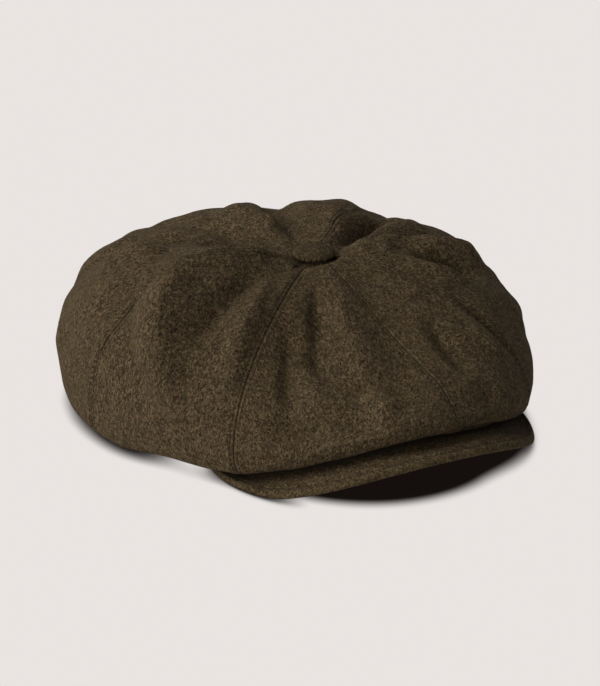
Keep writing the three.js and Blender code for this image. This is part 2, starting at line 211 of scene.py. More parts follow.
class Shell:
    """A surface round the cap, stored as [angle, down] -> (radius, z), with smooth normals."""

    def __init__(self, column):
        angles = np.radians(np.arange(SHELL_COLUMNS) * 360.0 / SHELL_COLUMNS - 180.0)
        self.rz = np.array([column(a) for a in angles])
        points = polar(self.rz[..., 0], angles[:, None], self.rz[..., 1])
        round_way = (np.roll(points, -1, 0) - np.roll(points, 1, 0)) / 2
        normal = unit(np.cross(np.gradient(points, axis=1), round_way))
        for _ in range(3):
            normal = (np.roll(normal, 1, 0) + normal * 2 + np.roll(normal, -1, 0)) / 4
            normal[:, 1:-1] = (normal[:, :-2] + 2 * normal[:, 1:-1] + normal[:, 2:]) / 4
        self.normals = unit(normal)
        steps = np.linalg.norm(np.diff(self.rz, axis=1), axis=-1)
        self.runs = np.concatenate([np.zeros((SHELL_COLUMNS, 1)), np.cumsum(steps, 1)], 1)

    def sample(self, grid, angle, down):
        return between(grid, angle, np.clip(down, 0, 1) * (grid.shape[1] - 1))

    def radius(self, angle, down):
        return self.sample(self.rz, angle, down)[..., 0]

    def normal(self, angle, down):
        return self.sample(self.normals, angle, down)

    def run(self, angle, down):
        """Length of cloth from the apex."""
        return self.sample(self.runs, angle, down)

    def point(self, angle, down, lift=0.0):
        rz = self.sample(self.rz, angle, down)
        flat = polar(rz[..., 0], angle, rz[..., 1])
        return flat + self.normal(angle, down) * np.asarray(lift)[..., None]


def seam_angle(seam, down):
    drift = SEAM_DRIFT[seam] * np.sin(np.pi * np.clip(down * 1.05, 0, 1)) ** 0.8
    return np.radians(SEAM_DEG[seam] + drift)


def angle_gap(a, b):
    return np.abs((a - b + np.pi) % (2 * np.pi) - np.pi)


def puff_at(share, down, full):
    """How far a panel stands out between its seams."""
    across = full * np.clip(np.sin(np.pi * share), 0, 1) ** 0.8 - 0.3
    lengthwise = np.clip(np.sin(np.pi * np.clip((down - 0.04) / 0.62, 0, 1)), 0, 1) ** 0.9
    return PUFF * across * lengthwise


SHELL = Shell(crown_column)

# ---------------------------------------------------------------- meshes
COLLECTION = bpy.context.scene.collection


def make_mesh(name, verts, faces, material, uv=None, attributes=None,
              replaces=None, rests=True):
    """verts in millimetres. faces: a list of arrays, each of faces with one count of corners.
    With rests, cloth that would reach through the floor lies on it instead."""
    verts = np.asarray(verts, float) * 0.001 + np.array([CX, CY, 0.0])
    if rests:
        verts[:, 2] = np.maximum(verts[:, 2], 0.0)
    mesh = bpy.data.meshes.new(name)
    mesh.vertices.add(len(verts))
    mesh.vertices.foreach_set("co", verts.astype(np.float32).ravel())
    loops = np.concatenate([f.ravel() for f in faces]).astype(np.int32)
    totals = np.concatenate([np.full(len(f), f.shape[1]) for f in faces]).astype(np.int32)
    starts = np.concatenate([[0], np.cumsum(totals)[:-1]]).astype(np.int32)
    mesh.loops.add(len(loops))
    mesh.loops.foreach_set("vertex_index", loops)
    mesh.polygons.add(len(totals))
    mesh.polygons.foreach_set("loop_start", starts)
    mesh.polygons.foreach_set("loop_total", totals)
    mesh.polygons.foreach_set("use_smooth", np.ones(len(totals), bool))
    if uv is not None:
        layer = mesh.uv_layers.new(name="UVMap")
        layer.data.foreach_set("uv", np.asarray(uv, np.float32)[loops].ravel())
    for key, values in (attributes or {}).items():
        attribute = mesh.attributes.new(key, "FLOAT", "POINT")
        attribute.data.foreach_set("value", np.asarray(values, np.float32))
    mesh.update()
    mesh.validate()
    ob = bpy.data.objects.new(name, mesh)
    COLLECTION.objects.link(ob)
    mesh.materials.append(material)
    if replaces:
        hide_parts(replaces)
    return ob


def grid_quads(rows, cols, base=0, flip=False, wrap=False):
    row, col = np.meshgrid(np.arange(rows - 1), np.arange(cols if wrap else cols - 1),
                           indexing="ij")
    after = (col + 1) % cols
    here, below = base + row * cols, base + (row + 1) * cols
    quads = np.stack([here + col, below + col, below + after, here + after], -1).reshape(-1, 4)
    return quads[:, ::-1] if flip else quads


def strip(a, b, flip=False):
    """Quads between two index lists of one length."""
    quads = np.stack([a[:-1], b[:-1], b[1:], a[1:]], -1)
    return quads[:, ::-1] if flip else quads


def sheet(name, outer, inner, material, uv=None, wrap=False, attributes=None, replaces=None):
    """A closed sheet of cloth from two (rows, cols, 3) grids of points."""
    rows, cols = outer.shape[:2]
    count = rows * cols
    verts = np.concatenate([outer.reshape(-1, 3), inner.reshape(-1, 3)])
    index = np.arange(count).reshape(rows, cols)
    quads = [grid_quads(rows, cols, 0, False, wrap), grid_quads(rows, cols, count, True, wrap)]
    top, low = index[0], index[-1]
    if wrap:
        top, low = np.append(top, top[0]), np.append(low, low[0])
    quads += [strip(top, top + count, True), strip(low, low + count)]
    if not wrap:
        left, right = index[:, 0], index[:, -1]
        quads += [strip(left, left + count), strip(right, right + count, True)]
    if uv is not None:
        uv = np.concatenate([uv.reshape(-1, 2)] * 2)
    attributes = {k: np.concatenate([v.ravel()] * 2) for k, v in (attributes or {}).items()}
    return make_mesh(name, verts, [np.concatenate(quads)], material, uv, attributes, replaces)


def unworn(grid):
    """The wool's attributes, all zero, for a grid of points."""
    return {key: np.zeros(grid.shape[:2]) for key in ("wear", "seam")}


def strip_uv(downward, line, shift=0.0):
    """UVs of a long strip: one way in decimetres along a line of it, the other given."""
    return np.stack(np.meshgrid(downward, run_along(line) / 100, indexing="ij")[::-1], -1) + shift


def smooth_noise(points, seed, cell):
    """Value noise of unit size over points in millimetres: the same on every run."""
    scaled = np.asarray(points, float) / cell
    corner = np.floor(scaled).astype(np.int64)
    f = scaled - corner
    f = f * f * (3 - 2 * f)
    total = 0.0
    for step in np.ndindex(2, 2, 2):
        x, y, z = (corner[..., i] + step[i] for i in range(3))
        value = (x * 374761393 + y * 668265263 + z * 2147483647 + seed * 1274126177) & 0xFFFFFFFF
        value = ((value ^ (value >> 13)) * 1274126177) & 0xFFFFFFFF
        value = ((value ^ (value >> 16)) & 0xFFFF) / 32767.5 - 1.0
        wx, wy, wz = (f[..., i] if step[i] else 1 - f[..., i] for i in range(3))
        total = total + value * (wx * wy * wz)
    return total


def uneven(points, *layers):
    """Sum of noises, each given as (height, seed, cell size)."""
    return sum(height * smooth_noise(points, seed, cell) for height, seed, cell in layers)


# ---------------------------------------------------------------- the folds of the soft crown
# Columns: angles along the fold in degrees, down along the fold, half widths on its two sides,
# height (a valley is negative), shift sideways, and strength at its first end (0 fades out).
FOLDS = [
    ((-62, -66, -66, -67, -66, -62, -57), (.05, .12, .2, .28, .36, .44, .52),
     (9.8, 10.6), -9.20, -1.7, 0.4),
    ((-92, -90, -87, -82, -77, -73, -67, -59), (.12, .2, .28, .35, .41, .46, .53, .585),
     (13.5, 10.0), 9.20, -5.1, 0.2),
    ((-94, -93, -92, -90), (.06, .13, .2, .28), (5.3, 6.3), 2.40, 1.5, 0.3),
    ((2, 4, 5, 5), (.14, .22, .3, .38), (7.8, 7.9), 0.18, 0.5, 0.1),
    ((-97, -95, -91, -86, -76, -66, -57), (.28, .36, .43, .48, .545, .6, .625),
     (13.0, 6.4), -3.30, -3.0, 0),
    ((-64, -58, -54, -52, -51, -50, -50), (.07, .14, .21, .28, .36, .45, .52),
     (7.4, 4.4), 3.90, -5.1, 0.3),
    ((-52, -49, -47.5, -46, -44), (.08, .16, .25, .35, .45), (5.5, 4.7), -0.79, 2.7, 0.3),
    ((-100, -88, -72, -58), (.5, .56, .62, .66), (8.1, 7.7), 0.66, -0.3, 0),
    ((-63, -61, -59), (.33, .4, .47), (8.1, 5.9), 3.26, -4.7, 0),
    ((-40, -37.5, -35.5, -34.5, -33), (.22, .3, .38, .46, .55), (5.5, 7.4), -4.53, -1.3, 0),
    ((-34, -34, -33, -32), (.12, .2, .28, .35), (5.8, 6.1), 2.64, 2.6, 0.2),
    ((-29, -28.5, -28, -27, -26), (.12, .2, .28, .36, .43), (7.7, 7.7), -6.72, 1.0, 0.3),
    ((-15, -13, -12, -11, -11, -11), (.08, .16, .25, .34, .42, .5), (8.1, 13.9), 4.20, 0.8, 0.3),
    ((-14, -11, -8), (.44, .5, .55), (7.0, 9.2), 4.00, 2.1, 0),
    ((-42, -25, -10), (.58, .6, .61), (10.7, 12.0), -6.40, 4.8, 0),
    ((24, 21.5, 19.5, 18, 18), (.3, .36, .41, .46, .5), (7.3, 8.6), -4.77, 2.8, 0),
    ((14, 12, 10), (.28, .36, .44), (7.9, 8.0), 0.59, 0.3, 0),
    ((30, 28, 27), (.3, .37, .44), (5.0, 5.0), 0.88, 0.0, 0),
    ((2, 10, 20, 28), (.52, .53, .54, .56), (15.4, 11.5), -5.40, -5.1, 0),
    ((36, 37, 37), (.38, .45, .52), (6.8, 6.3), 3.63, -1.5, 0),
    ((48, 46, 45, 44), (.3, .38, .46, .54), (4.4, 4.0), -3.07, -1.2, 0),
    ((66, 67, 67, 64), (.18, .25, .32, .4), (6.7, 6.6), -7.15, 2.4, 0),
    ((52, 55, 56, 55), (.12, .2, .28, .36), (5.7, 7.0), 3.13, 2.2, 0.2),
    ((80, 84, 86, 84), (.18, .26, .34, .42), (9.3, 7.6), 5.74, -2.2, 0),
    ((78, 76, 73), (.08, .14, .2), (5.8, 5.3), -2.64, -1.0, 0.2),
    ((62, 62, 61), (.06, .12, .18), (5.5, 10.0), 5.43, 4.3, 0.3),
    ((95, 100, 104, 106), (.08, .16, .24, .32), (12.9, 6.5), 5.09, -2.6, 0.2),
    ((108, 116, 119, 119, 116), (.04, .1, .16, .22, .3), (8.8, 6.4), -10.08, -3.1, 0.4),
    ((138, 143, 146), (.08, .16, .24), (11.1, 7.6), 4.37, -4.1, 0.3),
    ((172, 170, 169, 168, 166), (.06, .13, .2, .28, .38), (11.0, 4.9), -9.32, 3.9, 0.2),
    ((152, 153, 155, 156), (.08, .16, .24, .32), (8.1, 8.4), 1.91, -0.1, 0.2),
    ((-172, -174, -176, -176), (.08, .16, .24, .34), (12.0, 11.8), 7.75, -2.7, 0.2),
    ((-152, -155, -158, -159), (.1, .18, .26, .34), (8.6, 9.7), -4.19, 2.6, 0.1),
    ((-138, -141, -144, -146), (.14, .22, .3, .38), (9.1, 8.6), 2.43, -0.2, 0),
    ((-118, -126, -131, -133), (.05, .1, .16, .22), (4.1, 5.3), -3.25, 1.0, 0.2),
    ((-98, -97, -98, -100), (.06, .12, .18, .24), (6.7, 6.3), 2.12, -0.5, 0.3),
    ((-108, -113, -118, -120), (.1, .18, .25, .33), (7.0, 7.1), 0.20, 0.2, 0.1),
    ((-122, -124, -124), (.24, .33, .42), (9.1, 14.1), 5.70, 3.0, 0),
]
# Folds of one half width, not shifted, that fade out at both ends: angles, down, half width, height.
EVEN_FOLDS = [
    ((100, 103, 104), (.36, .43, .5), 9, 1.50), ((122, 118, 112), (.34, .41, .5), 7, -1.90),
    ((96, 108, 121), (.54, .57, .59), 8, 1.80), ((97, 110, 124), (.6, .625, .64), 7, -2.00),
    ((158, 160), (.38, .48), 8, -2.20), ((142, 146), (.3, .44), 9, 2.00),
    ((138, 150, 166), (.52, .56, .55), 9, -1.80), ((-162, -158), (.4, .5), 9, 1.80),
    ((-172, -170), (.4, .5), 6, -2.00), ((-149, -148), (.42, .52), 7, -2.00),
    ((-172, -158, -144), (.55, .585, .58), 9, 1.90),
    ((-104, -101, -104), (.32, .42, .52), 7, -1.40),
    ((-130, -118, -100), (.5, .56, .57), 9, -1.60),
    ((-128, -114, -97), (.58, .61, .61), 8, 1.50),
    ((70, 78, 88), (.5, .55, .56), 8, 1.60), ((60, 72, 86), (.58, .6, .61), 7, -1.50),
    ((-143, -143, -143, -141), (.34, .42, .5, .62), 12, 3.07),
    ((-124, -126, -126), (.44, .52, .6), 11, 0.56),
    ((-156, -160, -161, -160), (.28, .36, .44, .52), 9, -3.06),
    ((-172, -174, -174, -173), (.2, .3, .38, .46), 8, 0.95),
    ((172, 169, 167, 165, 164), (.12, .2, .3, .38, .46), 10, -4.09),
    ((156, 156, 156), (.18, .26, .34), 8, -1.42), ((-179, -179, -179), (.14, .22, .3), 7, -4.31),
    ((142, 140, 139, 138), (.2, .28, .36, .42), 8, 1.89),
    ((120, 123, 124, 124), (.2, .28, .36, .44), 7, -2.70),
    ((106, 106, 105, 104), (.28, .36, .44, .5), 8, 2.01),
    ((83, 83, 83, 83), (.26, .34, .42, .48), 9, 1.61),
    ((66, 68, 70), (.4, .48, .56), 9, 0.49), ((80, 76, 72), (.47, .52, .6), 9, -2.16),
]
FOLDS += [(angles, downs, (half, half), height, 0.0, 0)
          for angles, downs, half, height in EVEN_FOLDS]
# How much deeper each seam lies than its panels over its upper half; how full each panel stands.
SEAM_DEEP = [0.14, 1.74, -0.44, -0.3, 0.81, -0.16, 1.74, 0.99]
PANEL_FULL = [0.27, 0.27, 0.27, 0.27, 0.48, 0.85, 0.92, 0.27]

# The simulated crumple: where it lies on the crown, its grid, its greatest height in millimetres
# and how much of it is used.
DRAPE = None
DRAPE_TOP, DRAPE_END = 0.06, 0.68
DRAPE_ROWS, DRAPE_COLS = 64, 200
DRAPE_CAP, DRAPE_SHARE = 2.0, 0.55


def drape_at(angle, down):
    row = np.clip((down - DRAPE_TOP) / (DRAPE_END - DRAPE_TOP), 0, 1) * (DRAPE_ROWS - 1)
    return between(DRAPE.T, angle, row, eased=True)


def add_fold(out, base, normal, angle, down, fold):
    """Adds one fold's height to out, near the fold."""
    angles, downs, half_widths, height, shift, first_end = fold
    knots = np.arange(len(angles))
    at = np.linspace(0, len(angles) - 1, 14 * (len(angles) - 1) + 1)
    line = relax(np.column_stack([np.interp(at, knots, angles), np.interp(at, knots, downs)]), 8)
    lo, hi = line[:, 0].min() - 60, line[:, 0].max() + 60
    middle, reach = (lo + hi) / 2, (hi - lo) / 2
    close = np.abs((np.degrees(angle) - middle + 180) % 360 - 180) < reach
    close = close | (down < 0.14)
    if not close.any():
        return
    path = SHELL.point(np.radians(line[:, 0]), line[:, 1])[::2]
    points, normals = base[close], normal[close]
    best, where, side = np.full(len(points), 1e9), np.zeros(len(points)), np.ones(len(points))
    for j in range(len(path) - 1):
        step, offset = path[j + 1] - path[j], points - path[j]
        part = np.clip((offset @ step) / max(step @ step, 1e-9), 0, 1)
        gap = np.linalg.norm(offset - part[:, None] * step, axis=1)
        near = gap < best
        best[near], where[near] = gap[near], (j + part[near]) / (len(path) - 1)
        side[near] = np.sign((np.cross(step, offset[near]) * normals[near]).sum(1))
    x = best * side - shift
    x = np.abs(x) / np.where(x < 0, half_widths[0], half_widths[1])
    ends = (first_end + (1 - first_end) * smooth(where / 0.35)) * smooth((1 - where) / 0.35)
    shape = bell(x) if height > 0 else 1.18 * np.exp(-(x ** 1.7)) - 0.36 * bell(x, 2.4)
    out[close] += height * ends * shape


def fold_field(angle, down):
    """How far the cloth stands out of the plain crown, in millimetres."""
    base = SHELL.point(angle, down)
    normal = SHELL.normal(angle, down)
    out = np.zeros(angle.shape)
    for fold in FOLDS:
        add_fold(out, base, normal, angle, down, fold)
    # broad unevenness and a little fine crumple, quiet over the button and the hem
    quiet = smooth((down - 0.03) / 0.08) * smooth((1.02 - down) / 0.12)
    out += quiet * uneven(base, (0.55, 3, 34.0), (0.24, 5, 13.0), (0.12, 7, 6.0))
    # the cloth sinks beside the button, most towards the visor and the wearer's left
    radius = np.hypot(base[..., 0], base[..., 1])
    sink = 0.4 + 2.6 * smooth(0.5 + 0.5 * np.cos(angle - np.radians(35.0)))
    out -= sink * bell(radius - 12.2, 3.4)
    if DRAPE is not None:
        out += DRAPE_SHARE * drape_at(angle, down)
    # the panels stand full between the seams, and the seams lie low
    seam_part = smooth((down - 0.03) / 0.07) * smooth((0.50 - down) / 0.2)
    for k in range(8):
        start, end = seam_angle(k, down), seam_angle(k + 1, down)
        share = ((angle - start) % (2 * np.pi)) / (end - start)
        out += np.where(share < 1, puff_at(share, down, PANEL_FULL[k]), 0.0)
        out -= SEAM_DEEP[k] * seam_part * bell(angle_gap(angle, start) * radius, 13.0)
    return out


def blurred(grid, times):
    for _ in range(times):
        grid = (np.roll(grid, 1, 1) + 2 * grid + np.roll(grid, -1, 1)) / 4
        inside = (grid[:-2] + 2 * grid[1:-1] + grid[2:]) / 4
        grid = np.concatenate([grid[:1], inside, grid[-1:]])
    return grid


def drape():
    """Cloth simulation of the folded crown: slightly more cloth than fits, held at the seams, the
    button and the headband, buckles and settles. Returns its move along its normal, in mm."""
    angle, down = np.meshgrid(
        np.radians(np.arange(DRAPE_COLS) * 360.0 / DRAPE_COLS - 180.0),
        np.linspace(DRAPE_TOP, DRAPE_END, DRAPE_ROWS))
    start = SHELL.point(angle, down, fold_field(angle, down))
    quads = grid_quads(DRAPE_ROWS, DRAPE_COLS, wrap=True)
    ob = make_mesh("drape", start.reshape(-1, 3), [quads], None)

    from_seam = np.full(angle.shape, 99.0)
    radius = np.hypot(start[..., 0], start[..., 1])
    for k in range(8):
        from_seam = np.minimum(from_seam, angle_gap(angle, seam_angle(k, down)) * radius)
    edge = np.minimum(down - DRAPE_TOP, DRAPE_END - down) / (DRAPE_END - DRAPE_TOP)
    pin = np.clip(np.maximum(0.55 * bell(from_seam, 3.0), 1.0 - smooth(edge / 0.10)), 0.10, 1.0)
    group = ob.vertex_groups.new(name="pin")
    for i, weight in enumerate(pin.ravel()):
        group.add([i], float(weight), "REPLACE")

    cloth = ob.modifiers.new("cloth", "CLOTH")
    settings = cloth.settings
    settings.quality, settings.mass, settings.air_damping = 7, 0.05, 3.0
    settings.tension_stiffness = settings.compression_stiffness = 40.0
    settings.shear_stiffness, settings.bending_stiffness = 8.0, 1.2
    settings.shrink_min = settings.shrink_max = -0.045
    settings.vertex_group_mass, settings.pin_stiffness = "pin", 1.0
    settings.effector_weights.gravity = 0.03
    cloth.collision_settings.use_collision = False
    cloth.point_cache.frame_start, cloth.point_cache.frame_end = 1, 24
    scene = bpy.context.scene
    for f in range(1, 23):
        scene.frame_set(f)
    settled = ob.evaluated_get(bpy.context.evaluated_depsgraph_get()).to_mesh()
    flat = np.empty(len(settled.vertices) * 3, np.float32)
    settled.vertices.foreach_get("co", flat)
    end = (flat.reshape(-1, 3) - np.array([CX, CY, 0.0])).reshape(start.shape) * 1000.0
    scene.frame_set(1)
    mesh = ob.data
    bpy.data.objects.remove(ob)
    bpy.data.meshes.remove(mesh)

    lift = ((end - start) * SHELL.normal(angle, down)).sum(-1)
    # the overall height is the CAD's: only what the cloth does within a few centimetres is kept
    sag, lift = blurred(lift, 60), blurred(lift, 2)
    return np.clip(lift - sag, -DRAPE_CAP, DRAPE_CAP) * smooth(edge / 0.06)


DRAPE = drape()

# ---------------------------------------------------------------- crown panels
# Where a panel's columns lie beside each of its seams, in millimetres from the seam.
EDGE = np.array([0.03, 0.4, 0.75, 1.15, 1.6, 2.0, 2.35, 2.75, 3.3, 4.1, 5.2, 6.8, 9.0, 12.0])
MIDDLE_COLUMNS = 44
CROWN_ROWS = 210
LINED_ROWS = 150                                        # the upper rows, which have lining below
STITCH_OFF = 2.2                                       # topstitch line either side of a seam
UNDERSIDE = []                                          # the crown's inner face: points, normals


def panel_span(k, down):
    """A panel's first and last angle, its width, and how much its edge columns are squeezed."""
    start, end = seam_angle(k, down), seam_angle(k + 1, down)
    width = (end - start) * SHELL.radius((start + end) / 2, down) * 1.02
    return start, end, width, np.minimum(1.0, 0.42 * width / EDGE[-1])


def seam_relief(off, down):
    """Height beside a seam: rolled edge, ridge of the turned-in allowance, stitch line."""
    fade = smooth((down - 0.012) / 0.05)
    roll = -0.30 * np.exp(-((off / 0.50) ** 1.5))
    ridge = 0.34 * smooth(off / 1.0) * (1 - smooth((off - 3.4) / 4.2))
    stitch = -0.34 * bell(off - STITCH_OFF, 0.5)
    return roll * (0.35 + 0.65 * fade) + (ridge + stitch) * fade


def crown_panel(k, material):
    down = np.linspace(0, 1, CROWN_ROWS)
    start, end, width, squeeze = (a[:, None] for a in panel_span(k, down))
    left = EDGE[None, :] * squeeze / width
    last = left[:, -1:]
    middle = np.linspace(0, 1, MIDDLE_COLUMNS + 2)[1:-1][None, :]
    share = np.concatenate([left, last + (1 - 2 * last) * middle, 1 - left[:, ::-1]], 1)
    off = np.minimum(share, 1 - share) * width
    down = np.repeat(down[:, None], share.shape[1], 1)
    angle = start + (end - start) * share

    field = fold_field(angle, down)
    lift = field + seam_relief(off, down)
    fuzz = uneven(SHELL.point(angle, down, lift), (0.05, 11 + k, 1.7))
    outer = SHELL.point(angle, down, lift + fuzz)
    inner = SHELL.point(angle, down, field - 2.0 - 0.5 * bell(off, 1.2))
    normals = SHELL.normal(angle, down)
    UNDERSIDE.append((inner[:LINED_ROWS].reshape(-1, 3), normals[:LINED_ROWS].reshape(-1, 3)))
    uv = np.stack([(share - 0.5) * width / 100 + k * 1.7, SHELL.run(angle, down) / 100], -1)
    part = "crown_panel_" + PANELS[k]
    # the seam attribute darkens the wool right along each seam: painted shade, as in a groove; wear
    # lightens the ridge beside it
    return sheet(part + "_cloth", outer, inner, material, uv,
                 attributes={"wear": bell(off - 1.4, 1.6), "seam": bell(off, 0.8)}, replaces=part)


# ---------------------------------------------------------------- sewing thread
def stitches(name, path, normal, pitch, length, thick, material):
    """Short raised stitches along a path (n, 3), each dipping into the cloth at its ends."""
    run = run_along(path)
    count = int(run[-1] // pitch)
    starts = np.arange(count) * (run[-1] / count) + 0.5 * (run[-1] / count - length)
    place = starts[:, None] + np.linspace(0, 1, 5)[None, :] * length
    points = np.stack([np.interp(place, run, path[:, i]) for i in range(3)], -1)
    normals = unit(np.stack([np.interp(place, run, normal[:, i]) for i in range(3)], -1))
    side = np.cross(unit(np.gradient(points, axis=1)), normals)
    dip = np.array([-0.30, 0.02, 0.10, 0.02, -0.30])[None, :, None]
    radius = np.array([0.35, 0.95, 1.0, 0.95, 0.35])[None, :, None] * thick / 2
    centre = points + normals * dip
    verts = np.stack([centre + side * radius * math.cos(a) + normals * radius * math.sin(a)
                      for a in np.arange(6) * math.pi / 3], 2)
    index = np.arange(count * 30).reshape(count, 5, 6)
    after = np.roll(index, -1, 2)
    quads = np.stack([index[:, :-1], index[:, 1:], after[:, 1:], after[:, :-1]], -1)
    caps = np.concatenate([index[:, 0, ::-1], index[:, -1]])[:, ::-1]
    return make_mesh(name, verts.reshape(-1, 3), [quads.reshape(-1, 4), caps], material)


def seam_threads(k, material):
    """Both topstitch rows beside seam k."""
    down = np.linspace(0.055, 0.985, 700)
    rows = []
    for tag, panel in (("a", (k - 1) % 8), ("b", k)):
        start, end, width, squeeze = panel_span(panel, down)
        share = STITCH_OFF * squeeze / width
        if tag == "a":
            share = 1 - share
        angle = start + (end - start) * share
        lift = fold_field(angle, down) + seam_relief(STITCH_OFF, down) + 0.16
        rows.append(stitches("crown_seam_%d_topstitch_%s" % (k + 1, tag),
                             SHELL.point(angle, down, lift), SHELL.normal(angle, down),
                             pitch=3.1, length=2.45, thick=0.52, material=material))
    return rows


# ---------------------------------------------------------------- lining
def lining_column(angle):
    """The lining's profile: under the crown, then a curve down to the headband and behind it."""
    crown = crown_column(angle, 120)
    way = unit(np.gradient(crown, axis=0))
    under = np.column_stack([crown[:, 0] + way[:, 1] * 4.4, crown[:, 1] - way[:, 0] * 4.4])
    under[:, 1] -= 2.6 * bell(under[:, 0], 17)
    opening, top, hem = head(angle), band_top(angle), hem_z(angle)
    cut = next(i for i in range(31, len(under))
               if under[i, 0] > opening + 3 and under[i, 1] < top + 10)
    first = under[cut]
    last = np.array([opening + 2.6, min(top + 4, first[1] - 6)])
    pull = np.array([first[0] + 1, (first[1] + last[1]) / 2 - 3])
    k = np.linspace(0, 1, 21)[:, None]
    curve = (1 - k) ** 2 * first + 2 * k * (1 - k) * pull + k ** 2 * last
    i = np.arange(1, 11)
    tail = np.column_stack([opening + 2.6 - 1.6 * smooth(i / 6),
                            last[1] + (hem + 13 - last[1]) * i / 10])
    line = np.concatenate([under[:cut][under[:cut, 0] > 5], curve, tail])
    return relax(resample(relax(line, 6), 150, 14.0), 3)


LINING = Shell(lining_column)


def lining_field(angle, down):
    """The lining follows the crown's valleys but hangs a little free of it."""
    points = LINING.point(angle, down)
    upper = 1 - smooth((np.clip(down / 0.62, 0, 1) - 0.75) / 0.25)
    follow = fold_field(angle, np.clip(down * 0.72, 0, 1)) * upper
    return np.minimum(follow, 1.0) * 0.9 - 0.9 - 0.6 * smooth_noise(points, 23, 22.0) ** 2


@functools.cache
def underside():
    """The crown's inner face as a search tree with its points and normals. Needs every panel."""
    points, normals = (np.concatenate(x) for x in zip(*UNDERSIDE))
    tree = KDTree(len(points))
    for i, point in enumerate(points):
        tree.insert(point, i)
    tree.balance()
    return tree, points, normals


def tucked_under(grid, inward, gap=0.7):
    """Moves points inward until each lies at least gap under the crown cloth's inner face."""
    tree, points, normals = underside()
    out = grid.reshape(-1, 3).copy()
    way = inward.reshape(-1, 3)
    todo = np.arange(len(out))
    for _ in range(5):
        near = np.array([tree.find(v)[1] for v in out[todo]])
        high = ((out[todo] - points[near]) * normals[near]).sum(1) + gap
        bad = high > 0.02
        if not bad.any():
            break
        todo = todo[bad]
        out[todo] += way[todo] * (high[bad] * 1.1)[:, None]
    return out.reshape(grid.shape)


def lining_panel(k, material):
    rows, cols = 90, 34
    down = np.repeat(np.linspace(0, 1, rows)[:, None], cols, 1)
    even = np.cos(np.pi * np.repeat(np.linspace(0.0, 1.0, cols)[None, :], rows, 0))
    share = 0.5 - 0.5 * even * (0.35 + 0.65 * np.abs(even) ** 0.2)
    share = (share - share.min()) / (share.max() - share.min())
    start, end = math.radians(SEAM_DEG[k]), math.radians(SEAM_DEG[k + 1])
    width = (end - start) * LINING.radius(np.full(down.shape, (start + end) / 2), down)
    gap = 0.25 / width
    angle = start + (end - start) * (gap + (1 - 2 * gap) * share)
    off = np.minimum(share, 1 - share) * width
    run = LINING.run(angle, down)
    wander = 1.3 * smooth_noise(LINING.point(angle, down), 31, 12.0)
    pucker = 0.35 * np.sin(run / 3.1 + wander) * np.exp(-off / 5.0)
    field = lining_field(angle, down) + 1.1 * bell(off, 1.5) + pucker
    inward = -LINING.normal(angle, down)
    outer = tucked_under(LINING.point(angle, down, field), inward)
    uv = np.stack([(share - 0.5) * width / 100 + k * 1.7, run / 100], -1)
    part = "lining_panel_" + PANELS[k]
    return sheet(part + "_satin", outer, outer + inward * 0.45, material, uv,
                 replaces=part)


def unit_grid(rows, cols):
    return np.meshgrid(np.linspace(0, 1, rows), np.linspace(0, 1, cols), indexing="ij")


def lining_label(material):
    """A blank woven label sewn to the lining of the rear left panel, with folded ends."""
    top, end = 0.30, 0.455
    first, last = math.radians(135 + 0.28 * 45), math.radians(135 + 0.72 * 45)
    low, along = unit_grid(26, 40)
    down = top + (end - top) * low
    angle = first + (last - first) * along
    edge = np.minimum(np.minimum(along, 1 - along) * 34, np.minimum(low, 1 - low) * 22)
    lift = lining_field(angle, down) - 1.5 - 0.25 * bell(edge - 1.4, 0.5) + 0.25 * smooth(edge / 3)
    inward = -LINING.normal(angle, down)
    outer = tucked_under(LINING.point(angle, down, lift + 0.1), inward, 2.2)
    inner = outer + inward * (0.6 + 0.12 * smooth(edge / 1.0))[..., None]
    return sheet("lining_label_woven", outer, inner, material,
                 np.stack([along * 0.34, low * 0.22], -1), replaces="lining_label")


# ---------------------------------------------------------------- bands round the head opening
def band_grid(offset, share, steps, start=-180.0, end=180.0, closed=True):
    """Points of a band from each row's offset from the head line and share of the height."""
    angle = np.radians(np.linspace(start, end, steps, endpoint=not closed))
    low, top = hem_z(angle), band_top(angle)
    offset, share = np.broadcast_arrays(offset, share)
    offset, share = offset[:, None], share[:, None]
    radius = head(angle)[None, :] + offset - (BAND_LEAN * front_share(angle))[None, :] * share
    return polar(radius, angle, low[None, :] + (top - low)[None, :] * share), angle


def band(name, offset_out, offset_in, share, steps, material, replaces):
    outer, _ = band_grid(offset_out, share, steps)
    inner, _ = band_grid(offset_in, share, steps)
    uv = strip_uv(np.linspace(0, 0.3, len(outer)), outer[0])
    return sheet(name, outer, inner, material, uv, wrap=True, replaces=replaces)


def sweatband(material):
    """Turned over and stitched along its top edge, with a soft bead along the lower one."""
    share = np.linspace(1, 0, 30)
    bead = 0.25 * bell(share - 0.03, 0.03)
    top = 0.4 * bell(1 - share, 0.035)
    groove = 0.28 * (bell(share - 0.90, 0.014) + bell(share - 0.10, 0.014))
    doubled = 0.30 * smooth((share - 0.86) / 0.03) + 0.22 * smooth((0.13 - share) / 0.03)
    return band("sweatband_twill", -3.55 - top * 0.6 + bead * 0.3, -5.0 - doubled + groove + top,
                share, 260, material, "sweatband")


def seam_tape(material):
    """A tape with turned edges over the back of the sweatband."""
    columns = 15
    outer, angle = band_grid(-5.62, np.linspace(0.955, 0.06, 12), columns, 174.0, 186.0, False)
    side = np.abs(np.linspace(-1, 1, columns))
    rise = -0.25 * bell(side - 0.86, 0.06) + 0.3 * (1 - smooth((side - 0.9) / 0.1))
    inner = outer - polar(0.45 + rise, angle, 0.0)
    return sheet("sweatband_seam_tape_cloth", outer, inner, material,
                 replaces="sweatband_seam_tape")


